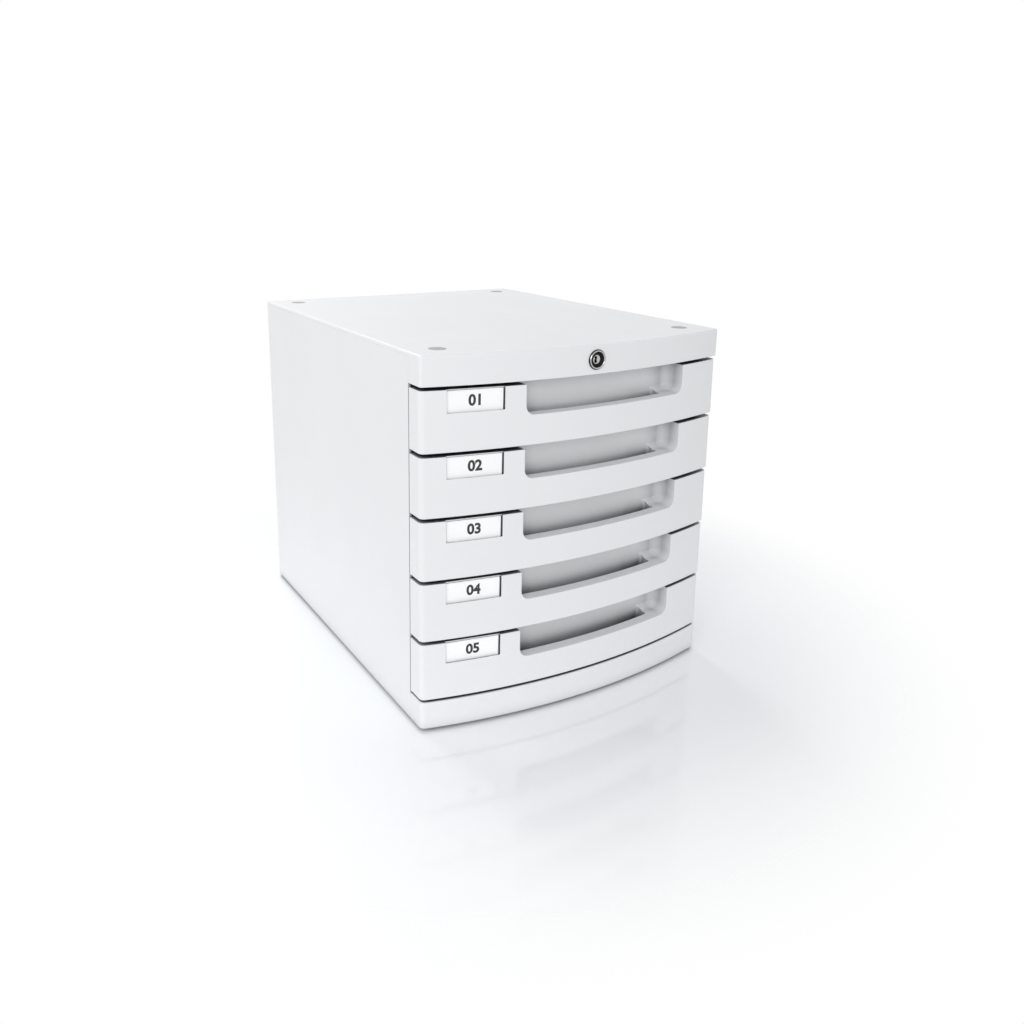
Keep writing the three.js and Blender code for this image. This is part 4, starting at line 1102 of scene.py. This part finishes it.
def drawer_front():
    above = FRONT_HEIGHT + 5
    window = [(-5.0, WINDOW_FOOT), (WINDOW_FRONT, WINDOW_FOOT), (WINDOW_FRONT, SLOT_FOOT),
              (WINDOW_BACK, SLOT_FOOT), (WINDOW_BACK, above), (-5.0, above)]
    outer = bowed((0.0, FRONT_TOP), FRONT_BACK + 5, 5.0, (1.0, 0.6), lean=1.0)

    # The walls of grip and label window and the pegs, kept inside the shell's outer skin
    inside = block((GRIP_X[0] - 2, GRIP_X[1] + 2), (FOREMOST, GRIP_BACK + 2), (LEDGE - 2.4, FRONT_HEIGHT))
    added(
        inside,
        pushed(well_plan(2.0), (WELL_BOTTOM - 2, LEDGE)),
        at_label(block((-LABEL_HALF - 2, LABEL_HALF + 2), (1.2, 4.8), (28.0, FRONT_HEIGHT - 1.2))),
        *pegs((bow_at(PEG_X) + 1.2, FRONT_BACK), 5.0, 32),
    )
    skin = bowed((1.0, FRONT_TOP - 1), FRONT_BACK + 5, 4.0, (0.8, 0.8), inset=1.0, lean=0.96)
    worked(inside, "INTERSECT", [skin])
    cut(
        outer,
        block(PAST_SIDES, (FRONT_BACK, FRONT_BACK + 10), (-5.0, above)),
        bowed((WALL, FRONT_TOP - WALL), FRONT_BACK + 10, 2.5, (0.5, 0.5), inset=WALL, lean=0.9),
    )
    added(outer, inside, *pegs((FRONT_BACK - 5, FRONT_BACK + 3.8), 2.6, 24))
    cut(
        outer,
        pocket(above),
        tub(lambda inset: well_plan(-inset), (WELL_BOTTOM, LEDGE + GRIP_RISE), 2.5),
        at_label(pushed(window, (-LABEL_HALF, LABEL_HALF), "X")),
        at_label(block((LABEL_HALF - 1.3, LABEL_HALF - 0.1), (2.4, 4.0), (31.4, FRONT_HEIGHT - 2))),
    )
    return rounded(outer, 0.5, off_groove)


def in_each_drawer(made, name, node, material):
    """Settles a copy of a finished shape in each of the drawers."""
    for number in range(1, DRAWERS + 1):
        settled(keep(name, made.data.copy()), "%s_%d" % (name, number), "drawer_%d" % number, material,
                ["%s_%d" % (node, number)], front_bottom(number))
    bpy.data.objects.remove(made)


in_each_drawer(drawer_front(), "front", "drawer_front", casing_plastic)

# %% [markdown]
# ## Trays
# The tray behind each front is a plain deep dish with rounded corners. Flanges along its rim run in
# the side panels' channels, ears on them stop the drawer when it is pulled out, and a small catch at
# the back reaches over the lock bar's hook. A plain box would be quicker, but its edges would look
# cut from sheet. The tub from above gives the soft corners of a moulded dish.

# %% Make the trays
TRAY_HALF = 139.0
TRAY_Y = (-151.55, 175.8)
TRAY_FOOT, TRAY_RIM, TRAY_WALL = 3.0, 44.0, 2.0
FLANGE_Z = (41.8, TRAY_RIM)
EAR_Y = (99.35, 107.35)
LIP_Y = (180.0, 182.2)
LIP_FOOT = 35.7177
CATCH_X = (-12.1456, -0.1456)


def drawer_tray():
    def plan(wall, radius):
        def inset_plan(inset):
            less = wall + inset
            x, y = (-TRAY_HALF + less, TRAY_HALF - less), (TRAY_Y[0] + less, TRAY_Y[1] - less)
            return rectangle(x, y, [radius - inset] * 4, 8)

        return inset_plan

    tray = tub(plan(0.0, 6.0), (TRAY_FOOT, TRAY_RIM), 2.0)
    cut(tray, tub(plan(TRAY_WALL, 4.0), (TRAY_FOOT + TRAY_WALL, TRAY_RIM + 5), 2.5))
    for side in (-1, 1):
        flange_x = sorted((side * (TRAY_HALF - 1), side * (TRAY_HALF + 5.2)))
        ear_x = sorted((side * TRAY_HALF, side * (INNER_HALF - 0.5)))
        added(tray, block(flange_x, (TRAY_Y[0] + 6, TRAY_Y[1] - 6), FLANGE_Z))
        added(tray, block(ear_x, EAR_Y, FLANGE_Z))
    catch = block(CATCH_X, (TRAY_Y[1] - 1, LIP_Y[1]), (TRAY_RIM - 2.5, TRAY_RIM))
    added(tray, added(catch, block(CATCH_X, LIP_Y, (LIP_FOOT, TRAY_RIM))))
    cut(tray, *pegs((TRAY_Y[0] - 5, TRAY_Y[0] + 2.3), 2.9, 24))
    return rounded(tray, 0.4)


in_each_drawer(drawer_tray(), "tray", "drawer_tray", tray_plastic)

# %% [markdown]
# ## Labels
# A white card stands in each label window, behind a thin clear cover. Each card has the number of
# its drawer printed on it in two digits, from 01 at the top to 05. The print could be part of the
# card's finish. Digits from a font, made into a mesh, stay sharp however near one looks. They stand
# proud of the paper by only a few hundredths of a millimetre. The card ends a little before the
# groove, so that the groove stays dark.

# %% Make the labels
CARD_FRONT, CARD_BACK = 2.1, 2.5
COVER_Y = (1.0, 1.8)
LABEL_Z = (30.3, 48.2)
DIGIT_SIZE, DIGIT_MIDDLE = 12.0, 39.6
DIGIT_SWELL = 0.45  # how much wider than the font's own the strokes are, to either side
INK_HALF, INK_OFF = 0.02, 0.03  # half the ink's thickness, and how far its middle is off the paper


def number_print(number):
    """The number as a thin solid on the card; it is a mesh before its place is applied."""
    text = bpy.data.curves.new("digit", "FONT")
    text.body = "%02d" % number
    text.size = DIGIT_SIZE
    text.offset = DIGIT_SWELL
    text.extrude = INK_HALF
    text.align_x = "CENTER"
    text.align_y = "CENTER"
    drawn = keep("digit", text)
    mesh = plain_mesh(drawn)
    bpy.data.objects.remove(drawn)
    place = Matrix.Translation((0.0, CARD_FRONT - INK_OFF, DIGIT_MIDDLE))
    mesh.transform(place @ Matrix.Rotation(math.pi / 2, 4, "X"))
    return merged(keep("digit", mesh))


for number in range(1, DRAWERS + 1):
    body, lift = "drawer_%d" % number, front_bottom(number)
    card_plan = rectangle((-LABEL_HALF + SEAT, LABEL_HALF - 1.2), LABEL_Z, [0.6] * 4)
    card = rounded(at_label(pushed(card_plan, (CARD_FRONT, CARD_BACK), "Y")), 0.06, segments=1)
    settled(card, "card_%d" % number, body, card_paper, ["label_card_%d" % number], lift)
    settled(at_label(number_print(number)), "digit_%d" % number, body, card_ink, [], lift)
    sheet_plan = rectangle((-LABEL_HALF + SEAT, LABEL_HALF - SEAT), LABEL_Z, [0.8] * 4)
    sheet = rounded(at_label(pushed(sheet_plan, COVER_Y, "Y")), 0.12, segments=2)
    settled(sheet, "clear_%d" % number, body, clear_sheet, ["label_cover_%d" % number], lift)

# %% [markdown]
# ## Caps, feet and screws
# A flat grey cap closes each screw hole of the top, flush with it. Under the base the screws are
# covered by round rubber feet with a ring moulded into each. Bevelled cylinders would do for the
# caps, but not for the ring, so both are turned from a profile, like wood on a lathe.

# %% Make the caps and the feet
CAP_PROFILE = [(0.0, 315.5), (6.6, 315.5), (7.0, 315.9), (7.0, 316.7), (6.91, 316.91), (6.7, 317.0),
               (0.0, 317.0)]
FOOT_PROFILE = [(0.0, 0.5), (2.6, 0.5), (3.0, 0.0), (4.4, 0.0), (4.8, 0.5), (5.6, 0.5), (6.0, 0.0),
                (7.2, 0.0), (7.76, 0.24), (8.0, 0.8), (8.0, 3.5), (7.8, 3.7), (0.0, 3.7)]

for name, place in CORNERS.items():
    cap = rounded(lathe(place, CAP_PROFILE, sides=64), 0.05, angle=80.0, segments=1)
    settled(cap, "cap_" + name, "casing", cap_plastic, ["top_cap_" + name])
    foot = rounded(lathe(place, FOOT_PROFILE, sides=64), 0.1, segments=2)
    settled(foot, "rubber_" + name, "casing", foot_rubber, ["foot_" + name])

# %% Make the screws
# Radius of the head on top and below, its height, radius of the shank, length of the screw
COUNTERSUNK = (3.5, 1.8, 2.0, 1.8, 13.0)
PAN_HEAD = (1.9, 2.6, 1.6, 1.3, 6.6)
PAN_HEAD_TOP = 4.4  # how far a pan head's outer face stands off the wall that it is screwed into


def screw_set(name, places, turn, nodes, top, under, height, shank, length):
    """Screws of one kind: the places are where the middle of each head's outer face lies."""
    mesh = bpy.data.meshes.new(name)
    mesh.from_pydata(places, [], [])
    turns = mesh.attributes.new("turn", "FLOAT_VECTOR", "POINT")
    turns.data.foreach_set("vector", [value for _ in places for value in turn])
    made = grown(screws, mesh, Top_radius=top, Under_radius=under, Head_height=height,
                 Shank_radius=shank, Length=length, Material=zinc)
    settled(rounded(made, 0.06, angle=50.0, segments=1), name, "casing", zinc, nodes)


screw_set("cover_screws", [(*place, COVER_SCREW_LEVEL) for place in CORNERS.values()],
          (0.0, 0.0, 0.6), ["top_screw_" + name for name in CORNERS], *COUNTERSUNK)
screw_set("base_screws", [(*place, BASE_SCREW_LEVEL) for place in CORNERS.values()],
          (math.pi, 0.0, 0.6), ["base_screw_" + name for name in CORNERS], *COUNTERSUNK)
screw_set("bracket_screws", [(BRACKET_SCREW_X, y, BOSS_BOTTOM - PAN_HEAD_TOP) for y in BRACKETS.values()],
          (math.pi, 0.0, 0.3), ["bracket_screw_" + name for name in BRACKETS], *PAN_HEAD)
guide_places = [(x, BACK_FRONT - PAN_HEAD_TOP, z)
                for z in GUIDE_LEVELS.values() for x in GUIDE_SCREW_X.values()]
guide_nodes = ["guide_screw_%s_%s" % (level, place) for level in GUIDE_LEVELS for place in GUIDE_SCREW_X]
screw_set("guide_screws", guide_places, (math.pi / 2, 0.3, 0.0), guide_nodes, *PAN_HEAD)

# %% [markdown]
# ## Lock
# The lock is a small black barrel pushed through the band from the front and held by a nut behind
# it. Its bright ring stands a little proud. The plug turns in the barrel, a little behind its rim,
# and a rod carries its turn to the crank at the back, which lifts the lock bar. Ring and barrel are
# turned from profiles. The plug, the rod and the crank are drums and bars joined together, with the
# keyway and the square holes cut out.

# %% Make the lock's ring and barrel
LOCK = (0.0, LOCK_LEVEL)
RING_FRONT = FOREMOST - 1.6

ring_steps = [(6.3, 0.8), (6.45, 0.3), (6.8, 0.0), (7.3, 0.1), (7.9, 0.5), (8.3, 1.0), (8.3, 1.3),
              (6.3, 1.3)]
ring_profile = [(radius, RING_FRONT + behind) for radius, behind in ring_steps]
ring = rounded(lathe(LOCK, ring_profile, "Y", 96, closed=True), 0.08, segments=2)
settled(ring, "bright_ring", "casing", chrome, ["lock_ring"])

barrel_front, barrel_rear = RING_FRONT + 0.9, FOREMOST + 24
barrel_profile = [(3.6, barrel_front + 1.0), (3.7, barrel_front + 0.8), (5.8, barrel_front),
                  (6.05, barrel_front + 0.2), (6.05, barrel_rear), (4.7, barrel_rear),
                  (4.7, barrel_front + 1.0)]
barrel = rounded(lathe(LOCK, barrel_profile, "Y", 64, closed=True), 0.06, segments=2)
settled(barrel, "barrel", "casing", lock_black, ["lock_barrel"])

# %% Make the nut
NUT_ACROSS, NUT_THICKNESS = 15.0, 3.5
nut_y = (FOREMOST + WALL + SEAT, FOREMOST + WALL + SEAT + NUT_THICKNESS)
hexagon = circle(NUT_ACROSS / 2 / math.cos(math.pi / 6), 6)
nut = pushed([(x, z + LOCK_LEVEL) for x, z in hexagon], nut_y, "Y")
cut(nut, level_drum(0.0, (nut_y[0] - 5, nut_y[1] + 5), LOCK_LEVEL, LOCK_BORE, 48))
settled(rounded(nut, 0.4), "nut", "casing", zinc, ["lock_nut"])

# %% Make the plug
PLUG_SQUARE, SQUARE_LENGTH = 2.5, 9.0  # half the width of the plug's square end, and its length


def on_axis(half, y):
    """A square bar along the lock's axis, or the room for one."""
    return block((-half, half), y, (LOCK_LEVEL - half, LOCK_LEVEL + half))


plug_front = barrel_front + 1.2
plug = level_drum(0.0, (plug_front, barrel_rear), LOCK_LEVEL, 4.4, 48)
square_rear = barrel_rear + SQUARE_LENGTH
added(plug, on_axis(PLUG_SQUARE, (barrel_rear - SEAT, square_rear)))
keyway = [(-2.1, -2.6), (0.4, -2.6), (0.4, -1.0), (0.0, -0.7), (0.0, 0.1), (0.4, 0.4), (0.4, 2.6),
          (-2.1, 2.6), (-2.1, 1.5), (-1.7, 1.2), (-1.7, 0.5), (-2.1, 0.2)]
cut(plug, pushed([(x, z + LOCK_LEVEL) for x, z in keyway], (plug_front - 5, plug_front + 9), "Y"))
settled(rounded(plug, 0.15, segments=2), "plug", "lock", nickel, ["lock_plug"])

# %% Make the rod and the crank
CRANK = 5.0912  # how far the crank's pin stands off the axis, to the side and down alike
ROD_SQUARE = 2.0

sleeve_rear = square_rear + SEAT + 3
crank_y = (BAR_Y[0] - 3.5, BAR_Y[0] - 0.5)
rod = level_drum(0.0, (barrel_rear + SEAT, sleeve_rear), LOCK_LEVEL, 5.2, 48)
added(rod, level_drum(0.0, (sleeve_rear - 3, crank_y[0] - SEAT), LOCK_LEVEL, 3.0, 40),
      on_axis(ROD_SQUARE, (crank_y[0] - 0.6, crank_y[1])))
cut(rod, on_axis(PLUG_SQUARE + SEAT, (barrel_rear - 5, sleeve_rear - 3)))
settled(rounded(rod, 0.3), "rod", "lock", zinc, ["lock_rod"])

crank = level_drum(0.0, crank_y, LOCK_LEVEL, 6.0, 48)
added(crank, level_drum(-CRANK, crank_y, LOCK_LEVEL - CRANK, 3.0, 40),
      level_drum(-CRANK, (crank_y[1] - 1.5, BAR_Y[1]), LOCK_LEVEL - CRANK, 1.5, 24))
cut(crank, on_axis(ROD_SQUARE + SEAT, (crank_y[0] - 5, crank_y[1] + 5)))
settled(rounded(crank, 0.3), "crank", "lock", zinc, ["lock_crank"])

# %% [markdown]
# ## Lock bar, guides and brackets
# The bar is a steel strip with a cross slot for the crank's pin, and a slender hook for each drawer.
# Two plastic staples guide it on the back panel, and the rod hangs in two plastic brackets. They are
# hidden in the closed cabinet, so plain blocks with rounded edges do. The hooks come from the tree
# that stacked the channels.

# %% Make the lock bar
HOOK_Y = (176.65, 179.15)
HOOK_X = (-10.1456, -2.1456)
HOOK_TOP = FIRST_FRONT + 30.2177
HOOK_LENGTH = 27.0
HOOK_BOTTOM = HOOK_TOP - HOOK_LENGTH

strip = block(BAR_X, BAR_Y, (HOOK_BOTTOM, COVER_UNDERSIDE - 0.5 - 2 * CRANK))
hook = block(HOOK_X, (HOOK_Y[0], BAR_Y[0] + 1.5), (HOOK_BOTTOM, HOOK_BOTTOM + 3))
added(hook, block(HOOK_X, HOOK_Y, (HOOK_BOTTOM, HOOK_TOP)))
added(strip, stacked(hook, zinc_strip))
slot_x, slot_z = (BAR_X[0] + 3, BAR_X[1] - 3), (LOCK_LEVEL - CRANK - 2, LOCK_LEVEL - CRANK + 2)
cut(strip, block(slot_x, (BAR_Y[0] - 5, BAR_Y[1] + 5), slot_z))
settled(rounded(strip, 0.35), "hook_bar", "bar", zinc_strip, ["lock_bar"])

# %% Make the guides and the brackets
for name, level in GUIDE_LEVELS.items():
    z = (level - 4, level + 4)
    rear, front = BACK_FRONT - SEAT, BAR_Y[0] - 2.1
    guide = block((BAR_X[0] - 2.1, BAR_X[1] + 2.1), (front, rear), z)
    added(guide, block((BAR_X[0] - 11.1, BAR_X[1] + 11.1), (rear - 2.5, rear), z))
    cut(guide, block((BAR_X[0] - 0.5, BAR_X[1] + 0.5), (BAR_Y[0] - 0.5, rear + 5), (z[0] - 5, z[1] + 5)),
        *[level_drum(x, (front, rear + 5), level, PILOT_RADIUS, 24) for x in GUIDE_SCREW_X.values()])
    settled(rounded(guide, 0.4), "guide_" + name, "casing", tray_plastic, ["bar_guide_" + name])

for name, y in BRACKETS.items():
    top = BOSS_BOTTOM - SEAT
    bracket = block((-6.0, 6.0), (y - 1.5, y + 1.5), (LOCK_LEVEL - 6, top))
    added(bracket, block((-6.0, 20.0), (y - 6, y + 6), (top - 2.5, top)))
    cut(bracket, level_drum(0.0, (y - 12, y + 12), LOCK_LEVEL, 3.3, 40),
        drum(BRACKET_SCREW_X, y, (top - 7.5, top + 5), PILOT_RADIUS, 24))
    bracket = rounded(bracket, 0.4)
    settled(bracket, "bracket_" + name, "casing", tray_plastic, ["rod_bracket_" + name])

# %% [markdown]
# ## Floor and light
# The cabinet stands on a pale, faintly shiny floor. It fades out to pure white away from the
# cabinet, so that only the soft shadow and a weak mirror image near it remain, as in a catalogue
# picture. A curved backdrop could give the white too, but it would stand in the way of a camera
# behind the cabinet.
#
# Four round soft lamps light it, all aimed at the middle of the cabinet. The key lamp, from the
# front left and above, gives the shadow its side. The left lamp lifts the long side, the front lamp
# lights the drawer fronts, and the rear lamp, high behind, the top. The front lamp stands far off,
# so that a drawer that is pulled out towards it gets hardly brighter. The white room fills the rest.

# %% Make the floor
FLOOR_REACH = 2.5
FLOOR_FADE = (0.27, 0.5)  # how far from the middle the fading starts and ends
floor_mesh = bpy.data.meshes.new("floor")
floor_plan = rectangle((-FLOOR_REACH, FLOOR_REACH), (-FLOOR_REACH, FLOOR_REACH))
floor_mesh.from_pydata([(x, y, 0.0) for x, y in floor_plan], [], [(0, 1, 2, 3)])
floor_sheet = keep("floor", floor_mesh)


def floor_finish():
    material, w, shader, place = started("floor")
    haze = w.put("ShaderNodeTexNoise", Vector=place, Scale=3.0, Detail=2.0)
    tone = w.blend(haze, (0.925, 0.94, 0.957, 1.0), (0.94, 0.953, 0.967, 1.0))
    w.feed(shader.inputs["Base Color"], tone)
    shader.inputs["Roughness"].default_value = 0.09
    shader.inputs["IOR"].default_value = 1.6
    apart = w.node("ShaderNodeVectorMath", {"operation": "LENGTH"}, Vector=place).outputs["Value"]
    fade = w.put("ShaderNodeMapRange", {"interpolation_type": "SMOOTHSTEP"}, Value=apart,
                 From_Min=FLOOR_FADE[0], From_Max=FLOOR_FADE[1])
    clear = w.put("ShaderNodeBsdfTransparent")
    faded = w.in_order("ShaderNodeMixShader", {}, fade, shader.outputs[0], clear)
    w.feed(w.tree.nodes["Material Output"].inputs["Surface"], faded)
    return material


floor_mesh.materials.append(floor_finish())
print("the floor fades out between", *FLOOR_FADE, "metres")

# %% Make the lamps
AIM = Vector((0.0, -0.05, 0.17))


def lamp(name, place, size, power, sheen):
    """A round soft lamp; the sheen is the share of its light that shows as a highlight."""
    light = bpy.data.lights.new(name, "AREA")
    light.shape = "DISK"
    light.size = size
    light.energy = power
    light.specular_factor = sheen
    towards = (AIM - Vector(place)).to_track_quat("-Z", "Y")
    keep(name, light).matrix_world = Matrix.Translation(place) @ towards.to_matrix().to_4x4()


lamp("key", (-1.6, -1.5, 1.5), 1.3, 10.0, 0.6)
lamp("left", (-1.2, 0.4, 0.5), 0.9, 3.2, 0.3)
lamp("front", (-1.0, -2.1, 0.8), 1.2, 18.0, 0.6)
lamp("rear", (0.0, 1.7, 1.9), 1.3, 19.5, 0.8)
print("lamps:", [light.name for light in bpy.data.lights])

# %% Make the white room
ROOM_STRENGTH = 0.58
world = bpy.data.worlds.new("white_room")
bpy.context.scene.world = world
world.use_nodes = True
room = Wires(world.node_tree)
soft = world.node_tree.nodes["Background"]
soft.inputs["Color"].default_value = (0.97, 0.98, 1.0, 1.0)
soft.inputs["Strength"].default_value = ROOM_STRENGTH
white = room.put("ShaderNodeBackground", Color=(1.0, 1.0, 1.0, 1.0), Strength=1.0)
ray = room.node("ShaderNodeLightPath").outputs
mirrored = room.sum("MAXIMUM", ray["Is Glossy Ray"], ray["Is Transmission Ray"])
plain = room.sum("MAXIMUM", ray["Is Camera Ray"], mirrored)
seen = room.in_order("ShaderNodeMixShader", {}, plain, soft.outputs[0], white)
room.feed(world.node_tree.nodes["World Output"].inputs["Surface"], seen)
bpy.context.scene.view_settings.view_transform = "Standard"
print("the room shines on the cabinet with a strength of", ROOM_STRENGTH)

# %% [markdown]
# ## Size and finish
# The box that the finished pieces fill is measured and printed. The finished pieces
# must lie inside the box of the CAD model.

# %% Measure and finish
bpy.context.view_layer.update()
spots = [piece.matrix_world @ vertex.co for piece in pieces for vertex in piece.data.vertices]
visual_box = [[end(spot[axis] for spot in spots) for axis in range(3)] for end in (min, max)]
print("visual box in metres:", visual_box)
